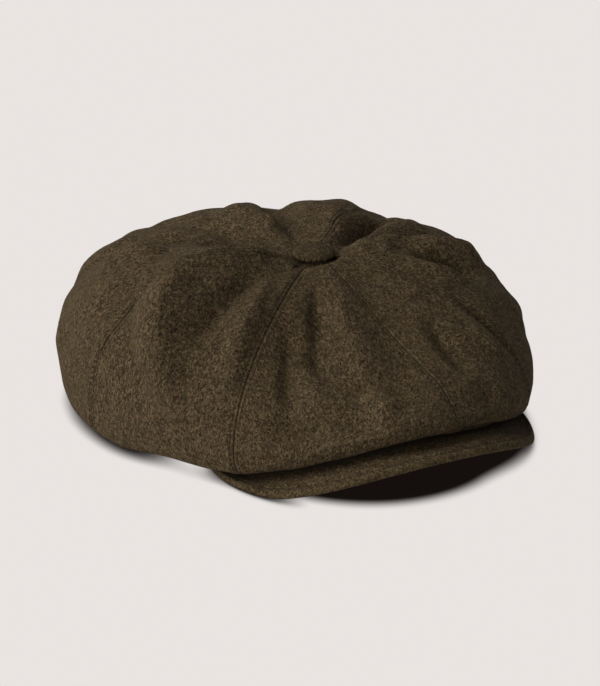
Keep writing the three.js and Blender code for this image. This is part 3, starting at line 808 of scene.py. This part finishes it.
def size_tab(material):
    """A small blank tab inside the sweatband."""
    low, along = unit_grid(16, 18)
    angle = np.radians(152 + 13 * along)
    radius = head(angle) - 5.75 - 0.35 * np.sin(np.pi * low) ** 2 - 0.15 * np.cos(along * 5)
    z = 22.2 - 14.4 * low
    return sheet("size_tab_woven", polar(radius, angle, z), polar(radius - 0.45, angle, z),
                 material, np.stack([along * 0.18, low * 0.14], -1),
                 replaces="size_tab")


def sweatband_stitches(tag, share, material):
    line, angle = band_grid([-5.28], share, 1400)
    inward = -polar(1.0, angle, 0.0)
    return stitches("sweatband_stitch_" + tag, np.concatenate([line[0], line[0][:1]]),
                    np.concatenate([inward, inward[:1]]), pitch=3.2, length=2.3, thick=0.42,
                    material=material)


def bands(mats):
    made = [sweatband(mats["sweatband_twill"]),
            band("headband_stiffener_cloth", -1.75, -3.05, np.linspace(0.90, 0.018, 8), 200,
                 mats["stiffener_buckram"], "headband_stiffener"),
            seam_tape(mats["sweatband_tape"]), size_tab(mats["label_ribbon"])]
    for tag, share in (("upper", 0.90), ("lower", 0.10)):
        made.append(sweatband_stitches(tag, share, mats["thread_band"]))
    return made


# ---------------------------------------------------------------- visor
# Here "across" runs from -1 to 1 over the visor, "edge" is the distance in from its rim, and
# "height" is over its underside.
VISOR_HALF, VISOR_DEPTH = 95.3, 49.9
VISOR_SWEEP = 71.0                                      # degrees of the head line either side
VISOR_BASE = 0.3                                       # its underside stands this far over the arch
TOP_HEIGHT = 4.35                                       # face of the upper cover
RIM_RADIUS = 2.3
TOP_STITCH, UNDER_STITCH = 4.6, 5.0                     # the stitch lines' distance from the rim
LAY_NOISE = ((0.30, 51, 24.0), (0.10, 53, 8.0))        # unevenness of the upper cover


def visor_line(across):
    """Points (x, y) of the head line, the way to the rim, its length, and how much is filled."""
    angle = np.radians(across * VISOR_SWEEP)
    inner = polar(head(angle) - 0.2, angle, 0.0)[..., :2]
    turn = across * math.pi / 2
    shoulder = 35
    forward = np.clip(np.cos(turn), 0, 1) ** 0.8
    rim_y = -(shoulder + (HEAD_HALF_Y - shoulder + VISOR_DEPTH) * forward)
    way = np.stack([VISOR_HALF * np.sin(turn), rim_y], -1) - inner
    length = np.linalg.norm(way, axis=-1)
    tip = np.clip((np.abs(across) - 0.8) / 0.2, 0, 1)
    return inner, way, length, length * (np.sqrt(np.clip(1 - tip * tip, 0, 1)) * 0.9 + 0.1)


def visor_full(across):
    """The visor's depth from the head line to the rim."""
    return visor_line(across)[3]


def visor_point(across, edge, height):
    inner, way, length, full = visor_line(across)
    xy = inner + way * ((full - edge) / length)[..., None]
    z = arch(xy[..., 0]) + VISOR_BASE + height
    return np.concatenate([xy, z[..., None]], -1)


def visor_columns(count, limit):
    """Places across the visor, closer together towards its tips."""
    even = np.linspace(-1, 1, count)
    return limit * (0.45 * even + 0.55 * np.sin(even * math.pi / 2))


def visor_upper(material):
    """Wool drawn over the board and turned down round the rim, with its seam just in from it."""
    across = visor_columns(230, 0.99)
    full = visor_full(across)
    ratio = np.minimum(1.0, full / 9.0)                 # narrows the rolled rim at the tips
    flat_rows, rim_rows = 46, 16
    out = np.linspace(0, 1, flat_rows)
    edge = full - (full - RIM_RADIUS * ratio) * out[:, None]
    tuck = bell(full - edge, 1.4)                       # into the seam at the head
    height = (TOP_HEIGHT + 0.18 * bell(edge - 7.0, 2.2) - 0.42 * bell(edge - TOP_STITCH, 0.55)
              + 0.10 * bell(edge - 3.1, 0.8) - 1.2 * tuck)
    turn = np.linspace(0, math.pi, rim_rows + 1)[1:, None]
    rim_edge, rim_in = ((RIM_RADIUS - depth * np.sin(turn)) * ratio for depth in (2.3, 1.0))
    outer = np.concatenate([visor_point(across, edge, height),
                            visor_point(across, rim_edge, 2.2 + 2.15 * np.cos(turn))])
    inner = np.concatenate([visor_point(across, edge, 3.05 - 0.6 * tuck),
                            visor_point(across, rim_in, 2.2 + 0.85 * np.cos(turn))])
    fade = np.concatenate([smooth(out * 6), np.linspace(1, 0.2, rim_rows)])[:, None]
    outer[..., 2] += uneven(outer, *LAY_NOISE, (0.035, 55, 1.8)) * fade
    uv = strip_uv(run_along(outer[:, 115]) / 100, outer[flat_rows // 2], 7.3)
    attributes = unworn(outer)
    attributes["wear"][flat_rows:] = 1.0
    return sheet("visor_upper_cover_cloth", outer, inner, material, uv,
                 attributes=attributes, replaces="visor_upper_cover")


def visor_under(material):
    across = visor_columns(190, 0.955)
    start = visor_full(across) - 1.2
    rim_gap = 2.75
    out = np.linspace(0, 1, 34)
    edge = start - (start - rim_gap) * out[:, None]
    tuck = bell(edge - rim_gap, 0.7) + bell(start - edge, 0.7)
    height = 0.02 + 0.42 * tuck + 0.30 * bell(edge - UNDER_STITCH, 0.45)
    low, high = visor_point(across, edge, height), visor_point(across, edge, 1.12)
    low[..., 2] += uneven(low, (0.10, 57, 14.0))
    return sheet("visor_under_cover_cloth", high, low, material,
                 strip_uv(out * 0.45, low[17], 11.1), attributes=unworn(low),
                 replaces="visor_under_cover")


def visor_allowance(material):
    """The covers' seam allowance, turned up between the headband and the crown's hem."""
    # distance out from the head line, height over the visor's underside
    turned = np.array([(1.2, 3.2), (0.4, 3.3), (-0.3, 3.6), (-0.72, 4.3),
                       (-0.80, 5.6), (-0.80, 7.4), (-0.80, 9.4), (-0.80, 11.4)])
    out, height = turned[:, :1], turned[:, 1:]
    angle = np.radians(visor_columns(150, 0.93) * VISOR_SWEEP)
    share = np.clip((height - 3.6) / (band_top(angle) - hem_z(angle)), 0, 1)
    bent = np.arange(len(turned))[:, None] / 3
    faces = []
    for thick in (0.0, 0.6):
        radius = (head(angle) + out - BAND_LEAN * front_share(angle) * share
                  - thick * np.minimum(1.0, bent))
        z = (arch(radius * np.sin(angle)) + VISOR_BASE + height
             - thick * np.maximum(0.0, 1 - bent))
        faces.append(polar(radius, angle, z))
    uv = strip_uv(np.linspace(0, 0.1, len(turned)), faces[0][4], 15.7)
    return sheet("visor_seam_allowance", faces[0], faces[1], material, uv,
                 attributes=unworn(faces[0]))


def visor_threads(material):
    across = np.linspace(-0.93, 0.93, 1500)
    top = visor_point(across, TOP_STITCH, TOP_HEIGHT - 0.42 + 0.17)
    top[..., 2] += uneven(top, *LAY_NOISE)
    up = np.tile([0.0, 0.0, 1.0], (len(across), 1))
    up[:, 0] = -np.gradient(arch(top[:, 0]), top[:, 0])
    up = unit(up)
    low = visor_point(across, UNDER_STITCH, 0.16)
    return [stitches("visor_edge_topstitch", top, up, pitch=3.1, length=2.4, thick=0.5,
                     material=material),
            stitches("visor_under_topstitch", low, -up, pitch=3.1, length=2.4, thick=0.45,
                     material=material)]


# ---------------------------------------------------------------- covered button
def button_cover(material):
    """Wool drawn tight over the dome and gathered in underneath it."""
    seat = APEX_Z + 1.2
    segments, radius, height, base = 128, 11.8, 5.4, 1.3
    thick, roll, mouth = 1.35, 1.3, 7.6                 # cloth, its turn under, the hole left
    dome_rows = 30
    turn = np.arange(1, dome_rows + 1) / dome_rows * math.pi / 2
    under = np.linspace(0, math.pi / 2, 9)[1:]
    inward = np.linspace(0, 1, 8)[1:]
    outer_r = np.concatenate([radius * np.sin(turn) ** 0.96, radius - roll * (1 - np.cos(under)),
                              radius - roll - (radius - roll - mouth) * inward])
    outer_z = np.concatenate([base + (height - base) * np.cos(turn) ** 0.92,
                              base - 1.25 * np.sin(under), base - 1.25 + 0.35 * inward])
    rows = len(outer_r)
    back = np.arange(1, rows - dome_rows + 1) / (rows - dome_rows)
    inner_r = np.concatenate([(radius - thick) * np.sin(turn),
                              radius - thick - (radius - thick - mouth) * back])
    inner_z = np.concatenate([base + 0.6 + (height - thick - base - 0.6) * np.cos(turn),
                              base + 0.6 * (1 - back) - 0.1 * back])
    angle = np.arange(segments) * 2 * math.pi / segments
    gather = np.clip((np.arange(rows) - (dome_rows - 7)) / 10.0, 0, 1)[:, None]
    pleats = 0.22 * np.sin(angle * 23 + 0.8 * np.sin(angle * 5)) + 0.12 * np.sin(angle * 37)
    outer = polar(outer_r[:, None] + gather * pleats[None, :], angle, outer_z[:, None] + seat)
    fade = np.clip((dome_rows - np.arange(rows)) / dome_rows, 0, 1)[:, None]
    outer[..., 2] += uneven(outer, (0.18, 61, 7.0), (0.05, 62, 1.6)) * fade
    inner = polar(inner_r[:, None], angle, inner_z[:, None] + seat)

    verts = np.concatenate([outer.reshape(-1, 3), inner.reshape(-1, 3),
                            [[0, 0, seat + height], [0, 0, seat + height - thick]]])
    count = rows * segments
    first = np.append(np.arange(segments), 0)
    last = first + (rows - 1) * segments
    quads = [grid_quads(rows, segments, 0, False, True),
             grid_quads(rows, segments, count, True, True), strip(last, last + count)]
    caps = [np.stack([np.full(segments, 2 * count), first[:-1], first[1:]], -1),
            np.stack([np.full(segments, 2 * count + 1), first[1:] + count,
                      first[:-1] + count], -1)]
    plain = np.zeros(len(verts))
    return make_mesh("button_cover_cloth", verts, [np.concatenate(quads), np.concatenate(caps)],
                     material, verts[:, :2] / 100 + 17.0,
                     {"wear": plain, "seam": plain}, "button_cover")


# ---------------------------------------------------------------- materials
class Nodes:
    """Short names for building a node material."""

    def __init__(self, name):
        self.material = bpy.data.materials.new(name)
        self.material.use_nodes = True
        self.tree = self.material.node_tree
        self.bsdf = self.tree.nodes["Principled BSDF"]

    def feed(self, node, inputs):
        """Links or sets each input of a node."""
        for key, value in inputs.items():
            if isinstance(value, bpy.types.NodeSocket):
                self.tree.links.new(value, node.inputs[key])
            else:
                node.inputs[key].default_value = value

    def add(self, kind, inputs=None, **props):
        node = self.tree.nodes.new(kind)
        for key, value in props.items():
            setattr(node, key, value)
        self.feed(node, inputs or {})
        return node

    def math(self, operation, a, b=0.0, clamp=False):
        return self.add("ShaderNodeMath", {0: a, 1: b, 2: 0.0}, operation=operation,
                        use_clamp=clamp).outputs[0]

    def times(self, a, b):
        return self.math("MULTIPLY", a, b)

    def plus(self, a, b):
        return self.math("ADD", a, b)

    def minus(self, a, b):
        return self.math("SUBTRACT", a, b)

    def ramp(self, value, over, to=(0.0, 1.0)):
        """Smooth step of value over one range to another."""
        return self.add("ShaderNodeMapRange",
                        {"Value": value, "From Min": over[0], "From Max": over[1],
                         "To Min": to[0], "To Max": to[1]},
                        interpolation_type="SMOOTHSTEP").outputs["Result"]

    def noise(self, vector, scale, detail=2.0, rough=0.5, distortion=0.0):
        return self.add("ShaderNodeTexNoise",
                        {"Vector": vector, "Scale": scale, "Detail": detail, "Roughness": rough,
                         "Distortion": distortion}).outputs["Fac"]

    def mix(self, share, a, b, blend="MIX"):
        return self.add("ShaderNodeMix", {0: share, 6: a, 7: b}, data_type="RGBA",
                        blend_type=blend).outputs[2]

    def tint(self, colour, shade, value, over, most=1.0):
        """Mixes up to most of a shade into a colour as value runs over a range."""
        return self.mix(self.ramp(value, over, (0.0, most)), colour, shade)

    def stretched(self, vector, turn, across, along, shift=0.0):
        """Coordinates turned by degrees and divided by across and along, in vector's units."""
        return self.add("ShaderNodeMapping",
                        {"Vector": vector, "Location": (shift, shift * 0.7, 0),
                         "Rotation": (0, 0, math.radians(turn)), "Scale": (across, along, 1)},
                        vector_type="TEXTURE").outputs["Vector"]

    def coordinates(self, kind):
        return self.add("ShaderNodeTexCoord").outputs[kind]

    def attribute(self, name):
        return self.add("ShaderNodeAttribute", attribute_name=name).outputs["Fac"]

    def occlusion(self, distance, samples):
        return self.add("ShaderNodeAmbientOcclusion", {"Distance": distance},
                        samples=samples).outputs["AO"]

    def bump(self, height, strength, distance):
        node = self.add("ShaderNodeBump",
                        {"Strength": strength, "Distance": distance, "Height": height})
        self.feed(self.bsdf, {"Normal": node.outputs["Normal"]})

    def out(self, **inputs):
        self.feed(self.bsdf, {key.replace("_", " "): value for key, value in inputs.items()})
        return self.material


def rgb(*values):
    """Linear colour from sRGB values of 0 to 255."""
    linear = [(c / 255 / 12.92) if c / 255 <= 0.04045 else ((c / 255 + 0.055) / 1.055) ** 2.4
              for c in values]
    return (*linear, 1.0)


def darker(colour, share):
    return tuple(x * share for x in colour[:3]) + (1.0,)


# Hairs of the wool: turn in degrees, width and length in UV units, noise level where they start.
HAIRS = ((3, .0052, .027, .565), (-21, .0048, .024, .575), (29, .0050, .025, .580),
         (-54, .0046, .020, .605), (68, .0046, .020, .605), (12, .0040, .034, .590))
# Tufts of the wool: turn in degrees, width and length in UV units, shift.
TUFTS = ((14, .0084, .0155, 0.0), (-27, .0078, .0140, 5.3))
BRIGHT_OLIVE, BRIGHT_ROSE = (1.30, 1.50, 0.90, 1.0), (1.55, 1.15, 1.20, 1.0)   # gains per channel


def wool_hairs(m, uv):
    """The strongest of the layers of hairs, and the sum of their noises."""
    hairs, nap = None, None
    for i, (turn, across, along, start) in enumerate(HAIRS):
        sway = m.add("ShaderNodeTexNoise", {"Vector": uv, "Scale": 22.0 + 5 * i, "Detail": 2.0})
        sway = m.add("ShaderNodeVectorMath", {0: sway.outputs["Color"], "Scale": 0.055},
                     operation="SCALE").outputs[0]
        bent = m.add("ShaderNodeVectorMath", {0: uv, 1: sway}, operation="ADD").outputs[0]
        layer = m.noise(m.stretched(bent, turn, across, along, 3.1 * i), scale=1.0, detail=1.0,
                        rough=0.6)
        strands = m.ramp(layer, over=(start, start + 0.085))
        hairs = strands if hairs is None else m.math("MAXIMUM", hairs, strands)
        nap = layer if nap is None else m.plus(nap, layer)
    return hairs, nap


def wool_tufts(m, uv):
    """Two random values of each tuft of fibre."""
    layers = []
    for turn, across, along, shift in TUFTS:
        cells = m.add("ShaderNodeTexVoronoi",
                      {"Vector": m.stretched(uv, turn, across, along, shift), "Scale": 1.0,
                       "Randomness": 1.0}, voronoi_dimensions="2D").outputs["Color"]
        layers.append(m.add("ShaderNodeSeparateColor", {"Color": cells}).outputs)
    return [m.times(m.plus(layers[0][i], layers[1][i]), 0.5) for i in (0, 1)]


def wool(name, base, dark, light, hair, olive, rose, depth=0.755):
    """Milled wool: a felted ground mottled in several shades, with hairs brushed mostly down the
    panel. Shades are sRGB; depth scales the whole colour."""
    base, dark, light, hair, olive, rose = (rgb(*c) for c in (base, dark, light, hair, olive, rose))
    m = Nodes(name)
    uv, ob = m.coordinates("UV"), m.coordinates("Object")
    broad = m.noise(ob, scale=38.0, detail=3.0, rough=0.55)
    cloudy = m.noise(ob, scale=170.0, detail=3.0, rough=0.6)
    hue = m.noise(ob, scale=420.0, detail=2.0, rough=0.6)
    felt = m.noise(ob, scale=880.0, detail=3.0, rough=0.7, distortion=0.6)
    grain = m.noise(ob, scale=1750.0, detail=2.0, rough=0.7)
    mottle = m.plus(m.times(cloudy, 0.18), m.times(felt, 0.82))
    ground = m.tint(dark, base, mottle, over=(0.28, 0.58))
    ground = m.tint(ground, light, broad, over=(0.38, 0.68), most=0.20)
    ground = m.tint(ground, olive, hue, over=(0.54, 0.68), most=0.70)
    ground = m.tint(ground, rose, hue, over=(0.46, 0.33), most=0.65)
    hairs, nap = wool_hairs(m, uv)
    shade = m.ramp(nap, over=(2.72, 3.28))
    ground = m.mix(m.times(m.minus(1.0, shade), 0.24), ground, dark)
    # single tufts of fibre, each with its own shade between olive, brown and rose
    light_tuft, hue_tuft = wool_tufts(m, uv)
    bright_olive, bright_rose = (tuple(c * gain for c, gain in zip(colour, gains)) for
                                 colour, gains in ((olive, BRIGHT_OLIVE), (rose, BRIGHT_ROSE)))
    ground = m.tint(ground, dark, light_tuft, over=(0.52, 0.26), most=0.82)
    ground = m.tint(ground, hair, light_tuft, over=(0.52, 0.70))
    ground = m.tint(ground, bright_olive, hue_tuft, over=(0.53, 0.78), most=0.85)
    ground = m.tint(ground, bright_rose, hue_tuft, over=(0.47, 0.22), most=0.85)
    # mask, how much of it is used, shade
    colour = ground
    for mask, most, shade in (
            (hairs, m.ramp(cloudy, over=(0.30, 0.70), to=(0.48, 0.66)), hair),
            (m.ramp(grain, over=(0.54, 0.68)), 0.80, hair),
            (m.ramp(grain, over=(0.46, 0.32)), 0.62, dark),
            (m.attribute("wear"), 0.08, hair),
            # darker along each seam line: painted shade
            (m.attribute("seam"), 0.08, dark)):
        colour = m.mix(m.times(mask, most), colour, shade)
    colour = m.mix(1.0, colour, (depth, depth, depth * 0.98, 1.0), "MULTIPLY")
    # no light gets into the narrow gaps where cloth meets cloth
    gap = m.ramp(m.occlusion(distance=0.009, samples=6), over=(0.12, 0.70), to=(0.12, 1.0))
    colour = m.mix(1.0, colour, gap, "MULTIPLY")
    fibres = m.plus(m.times(felt, 0.9), m.times(grain, 0.55))
    m.bump(m.plus(m.times(hairs, 0.6), fibres), strength=0.9, distance=0.00080)
    return m.out(Base_Color=colour, Roughness=0.95, Specular_IOR_Level=0.10, Sheen_Weight=0.07,
                 Sheen_Roughness=0.5, Sheen_Tint=(0.60, 0.46, 0.28, 1.0))


def woven(name, dark, light, across, along, turn, rough, sheen, bump, depth, specular):
    """A plain or twill weave, its threads across and along apart in UV units."""
    dark, light = rgb(*dark), rgb(*light)
    m = Nodes(name)
    uv, ob = m.coordinates("UV"), m.coordinates("Object")
    warp, weft = (
        m.add("ShaderNodeTexWave",
              {"Vector": m.stretched(uv, angle, size, size), "Scale": 0.31831, "Distortion": 0.6,
               "Detail": 1.0, "Detail Scale": 2.0}, bands_direction="X").outputs["Fac"]
        for angle, size in ((turn, across), (turn + 90, along)))
    weave = m.times(warp, m.plus(0.55, m.times(weft, 0.45)))
    slub = m.noise(m.stretched(uv, turn, across * 3, along * 30), scale=1.0)
    broad = m.noise(ob, scale=60.0)
    light_share = m.math("ADD", m.times(weave, 0.7), m.times(slub, 0.35), clamp=True)
    colour = m.mix(light_share, dark, light)
    colour = m.tint(colour, dark, broad, over=(0.35, 0.7), most=0.25)
    m.bump(m.plus(weave, m.times(slub, 0.5)), bump, depth)
    rough = m.ramp(slub, over=(0.3, 0.7), to=(rough - 0.05, rough + 0.08))
    return m.out(Base_Color=colour, Roughness=rough, Specular_IOR_Level=specular,
                 Sheen_Weight=sheen)


def metal(name, colour, rough):
    m = Nodes(name)
    ob = m.coordinates("Object")
    brushed = m.add("ShaderNodeMapping", {"Vector": ob, "Scale": (1, 1, 9)}).outputs["Vector"]
    fine = m.noise(brushed, scale=900.0, detail=3.0)
    spots = m.noise(ob, scale=300.0, detail=3.0)
    colour = m.tint(colour, darker(colour, 0.45), spots, over=(0.5, 0.8), most=0.5)
    m.bump(fine, strength=0.12, distance=0.00005)
    rough = m.ramp(fine, over=(0.3, 0.7), to=(rough - 0.08, rough + 0.12))
    return m.out(Base_Color=colour, Metallic=1.0, Roughness=rough)


def moulded(name, colour):
    m = Nodes(name)
    ob = m.coordinates("Object")
    grain = m.noise(ob, scale=1400.0)
    broad = m.noise(ob, scale=90.0, detail=3.0)
    colour = m.tint(colour, darker(colour, 0.8), broad, over=(0.35, 0.7), most=0.3)
    m.bump(grain, strength=0.1, distance=0.0001)
    return m.out(Base_Color=colour, Roughness=m.ramp(grain, over=(0.3, 0.7), to=(0.4, 0.55)))


def thread(name, colour):
    m = Nodes(name)
    fibre = m.noise(m.coordinates("Object"), scale=2600.0)
    colour = m.tint(darker(colour, 0.55), colour, fibre, over=(0.3, 0.7))
    m.bump(fibre, strength=0.3, distance=0.0001)
    return m.out(Base_Color=colour, Roughness=0.8, Specular_IOR_Level=0.2)


WOOL = wool("wool_cloth", base=(57, 46, 34), dark=(21, 16, 11), light=(68, 55, 40),
            hair=(140, 120, 90), olive=(54, 48, 32), rose=(63, 46, 36))
# a darker copy of the wool, painted shade, for the visor's underside and its allowance in the gap at
# the hem
WOOL_UNDER_SHADED = wool("wool_cloth_under_shaded", base=(54, 44, 32), dark=(23, 17, 11), light=(64, 52, 37),
                  hair=(126, 108, 80), olive=(52, 46, 30), rose=(60, 44, 34))
# a darker copy for the visor's upper cover (depth 0.69): painted shade where the crown's shadow falls
# across it
WOOL_VISOR_SHADED = wool("wool_cloth_visor_shaded", base=(57, 46, 33), dark=(23, 17, 11), light=(68, 55, 39),
                  hair=(138, 118, 86), olive=(54, 48, 31), rose=(63, 46, 35), depth=0.69)
# a darker copy for the button cover
WOOL_BUTTON = wool("wool_cloth_button", base=(49, 39, 28), dark=(20, 15, 10), light=(58, 47, 33),
                   hair=(120, 102, 74), olive=(47, 42, 27), rose=(55, 40, 30))
# Columns: name, dark and light sRGB, thread spacing across and along, turn in degrees, roughness,
# sheen, bump strength and distance, specular level.
WEAVES = (
    ("sweatband_twill", (38, 32, 26), (66, 56, 45), .0055, .0085, 35, 0.75, 0.1, 0.5, .00025, 0.3),
    ("sweatband_tape", (30, 25, 20), (54, 45, 36), .0045, .0045, 0, 0.7, 0.1, 0.5, .0002, 0.3),
    ("stiffener_buckram", (150, 138, 112), (196, 184, 156), .010, .010, 0, 0.85, 0.0, 0.6, .0004,
     0.3),
    ("label_ribbon", (24, 20, 17), (46, 39, 33), .0035, .0045, 0, 0.5, 0.0, 0.4, .00015, 0.45),
    ("lining_satin", (34, 28, 22), (62, 52, 42), .0022, .012, 0, 0.36, 0.25, 0.12, .00006, 0.5),
)
MATS = {row[0]: woven(*row) for row in WEAVES}
MATS["thread_wool"] = thread("thread_wool", rgb(58, 48, 36))
MATS["thread_band"] = thread("thread_band", rgb(44, 37, 30))
METAL = metal("button_metal", colour=(0.58, 0.58, 0.60, 1.0), rough=0.34)
BOARD = moulded("visor_board", colour=(0.70, 0.68, 0.62, 1.0))


# ---------------------------------------------------------------- assembly
def crown_soft(ob):
    """Crown cloth rides with the crown, on a mesh of its own."""
    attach(ob, "crown")
    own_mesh(ob)


for k in range(8):
    crown_soft(crown_panel(k, WOOL))
for k in range(8):
    crown_soft(lining_panel(k, MATS["lining_satin"]))
    for ob in seam_threads(k, MATS["thread_wool"]):
        crown_soft(ob)
crown_soft(lining_label(MATS["label_ribbon"]))
for ob in bands(MATS):
    crown_soft(ob)
for ob in [visor_upper(WOOL_VISOR_SHADED), visor_under(WOOL_UNDER_SHADED), visor_allowance(WOOL_UNDER_SHADED),
           *visor_threads(MATS["thread_wool"])]:
    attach(ob, "visor")
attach(button_cover(WOOL_BUTTON), "button")
for name, material, slot in (("visor_board", BOARD, "visor_board"),
                             ("button_shell", METAL, "button_metal"),
                             ("button_back_plate", METAL, "button_metal"),
                             ("button_rivet", METAL, "button_metal"),
                             ("button_washer", METAL, "button_metal")):
    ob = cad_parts[name]
    ob.data.materials.clear()
    ob.data.materials.append(material)

# ---------------------------------------------------------------- floor, in metres from here on
BOUNCE = 0.45                                          # how much of its light reaches the cap
UP_LIGHT = 2.2                                          # what it shines up into the head opening
PAPER = (0.8148, 0.7758, 0.7529, 1.0)
DEEP_SHADE = (0.0075, 0.0052, 0.0040, 1.0)
VISOR_SHADE_Y, VISOR_SHADE_HALF_X, VISOR_SHADE_HALF_Y = CY - 0.035, 0.0940, 0.1130


def visor_shadow(m, place):
    """1 on the open floor, falling to 0 in the deep shade under the visor."""
    def side():
        return m.minus(place["X"], CX)

    under = m.occlusion(distance=0.060, samples=48)
    left_side = m.ramp(side(), over=(0.0, 0.05), to=(0.0, 0.034))
    ahead = m.ramp(m.minus(place["Y"], left_side), over=(CY - 0.050, CY - 0.078))
    beside = m.ramp(m.math("ABSOLUTE", side()), over=(0.112, 0.099))
    # how far out under the visor: 0 at the head, 1 under the rim
    out_x = m.math("DIVIDE", side(), VISOR_SHADE_HALF_X)
    out_y = m.math("DIVIDE", m.minus(place["Y"], VISOR_SHADE_Y), VISOR_SHADE_HALF_Y)
    reach = m.math("SQRT", m.plus(m.times(out_x, out_x), m.times(out_y, out_y)))
    reach = m.minus(reach, m.ramp(side(), over=(0.030, 0.085), to=(0.0, 0.13)))
    core = m.times(m.ramp(reach, over=(1.0, 0.87)), m.times(ahead, beside))
    covered = m.minus(1.0, m.ramp(under, over=(0.34, 0.74)))
    return m.minus(1.0, m.times(covered, core))


def floor_paper():
    """A pale sweep that glows with its own colour and darkens only close to what stands on it."""
    m = Nodes("floor_paper")
    contact = m.occlusion(distance=0.009, samples=24)
    geometry = m.add("ShaderNodeNewGeometry")
    place = m.add("ShaderNodeSeparateXYZ", {"Vector": geometry.outputs["Position"]}).outputs
    shade = m.times(m.ramp(contact, over=(0.05, 0.88)), visor_shadow(m, place))
    # nor does light get under the cap, past its arched front edge
    squares = [m.math("POWER", m.math("DIVIDE", m.minus(place[axis], centre), half / 1000), 2.0)
               for axis, centre, half in (("X", CX, HEAD_HALF_X), ("Y", CY, HEAD_HALF_Y))]
    inside = m.plus(*squares)
    shade = m.times(shade, m.ramp(inside, over=(0.92, 1.12)))
    seen = m.add("ShaderNodeLightPath").outputs["Is Camera Ray"]
    glow = m.add("ShaderNodeEmission",
                 {"Color": m.mix(shade, DEEP_SHADE, PAPER),
                  "Strength": m.plus(BOUNCE, m.times(seen, 1.0 - BOUNCE))}).outputs[0]
    # inside the head opening it shines up, which lights the lining for a look from below
    opening = m.math("LESS_THAN", inside, 0.86)
    up_light = m.times(m.times(opening, m.minus(1.0, seen)), UP_LIGHT)
    lamp = m.add("ShaderNodeEmission", {"Color": (1.0, 0.98, 0.95, 1.0), "Strength": up_light})
    glow = m.add("ShaderNodeAddShader", {0: glow, 1: lamp.outputs[0]}).outputs[0]
    # seen from below, the sweep is clear, so that the inside of the cap can be looked at
    clear = m.add("ShaderNodeBsdfTransparent").outputs[0]
    backfacing = m.add("ShaderNodeNewGeometry").outputs["Backfacing"]
    surface = m.add("ShaderNodeMixShader", {0: backfacing, 1: glow, 2: clear}).outputs[0]
    m.feed(m.tree.nodes["Material Output"], {"Surface": surface})
    return m.material


FLOOR_HALF, FLOOR_Z = 9000, -0.05                       # millimetres, like every mesh
corners = [(x * FLOOR_HALF, y * FLOOR_HALF, FLOOR_Z) for x, y in ((-1, -1), (1, -1), (1, 1), (-1, 1))]
floor = make_mesh("floor", corners, [np.array([[0, 1, 2, 3]])], floor_paper(), rests=False)


# ---------------------------------------------------------------- camera, world and lamps
def towards(azimuth, elevation):
    """Direction from the cap: azimuth from -Y, positive towards +X, in radians."""
    return Vector((math.sin(azimuth) * math.cos(elevation),
                   -math.cos(azimuth) * math.cos(elevation), math.sin(elevation)))


CAMERA_AZIMUTH, CAMERA_ELEVATION = math.radians(-28.14), math.radians(24.101)
CAMERA_DISTANCE = 1.6
AIM_RIGHT, AIM_UP = -0.004748171, 0.020241277           # slope of the aim off the cap's middle
SENSOR_WIDTH, LENS = 36.0, 149.205831                   # millimetres

back = towards(CAMERA_AZIMUTH, CAMERA_ELEVATION)
right = Vector((math.cos(CAMERA_AZIMUTH), math.sin(CAMERA_AZIMUTH), 0.0))
up = back.cross(right)
camera = bpy.data.objects.new("camera", bpy.data.cameras.new("camera"))
COLLECTION.objects.link(camera)
camera.data.sensor_width = SENSOR_WIDTH
camera.data.lens = LENS
camera.data.clip_end = 100.0
camera.location = Vector((CX, CY, 0.0)) + back * CAMERA_DISTANCE
look = -back + right * AIM_RIGHT + up * AIM_UP
camera.rotation_euler = look.to_track_quat("-Z", "Y").to_euler()
scene = bpy.context.scene
scene.camera = camera

# The sky is the sweep's colour to the eye, but adds hardly any light.
SKY_LIGHT = 0.025
world = bpy.data.worlds.new("studio")
scene.world = world
world.use_nodes = True
nodes, links = world.node_tree.nodes, world.node_tree.links
nodes.clear()
sky = nodes.new("ShaderNodeBackground")
sky.inputs["Color"].default_value = PAPER
gain = nodes.new("ShaderNodeMapRange")
gain.inputs["To Min"].default_value = SKY_LIGHT
gain.inputs["To Max"].default_value = 1.0
light_path = nodes.new("ShaderNodeLightPath")
world_output = nodes.new("ShaderNodeOutputWorld")
links.new(light_path.outputs["Is Camera Ray"], gain.inputs["Value"])
links.new(gain.outputs["Result"], sky.inputs["Strength"])
links.new(sky.outputs["Background"], world_output.inputs["Surface"])

# Soft lamps round the cap: azimuth from the camera (positive to its right) and elevation in
# degrees, strength.
LAMPS = ((-90.0, 12.0, 0.90), (-32.0, 12.0, 1.24), (30.0, 12.0, 0.43), (-92.0, 38.0, 1.30),
         (-135.0, 66.0, 0.80), (140.0, 10.0, 0.30), (180.0, 8.0, 0.28))
for i, (azimuth, elevation, strength) in enumerate(LAMPS):
    name = "lamp_%d" % (i + 1)
    lamp = bpy.data.objects.new(name, bpy.data.lights.new(name, "SUN"))
    COLLECTION.objects.link(lamp)
    lamp.data.energy = strength
    lamp.data.angle = math.radians(26.0)
    lamp.data.color = (1.0, 0.985, 0.965)
    direction = towards(CAMERA_AZIMUTH + math.radians(azimuth), math.radians(elevation))
    lamp.rotation_euler = direction.to_track_quat("Z", "Y").to_euler()

scene.view_settings.view_transform = "Standard"
scene.view_settings.look = "None"
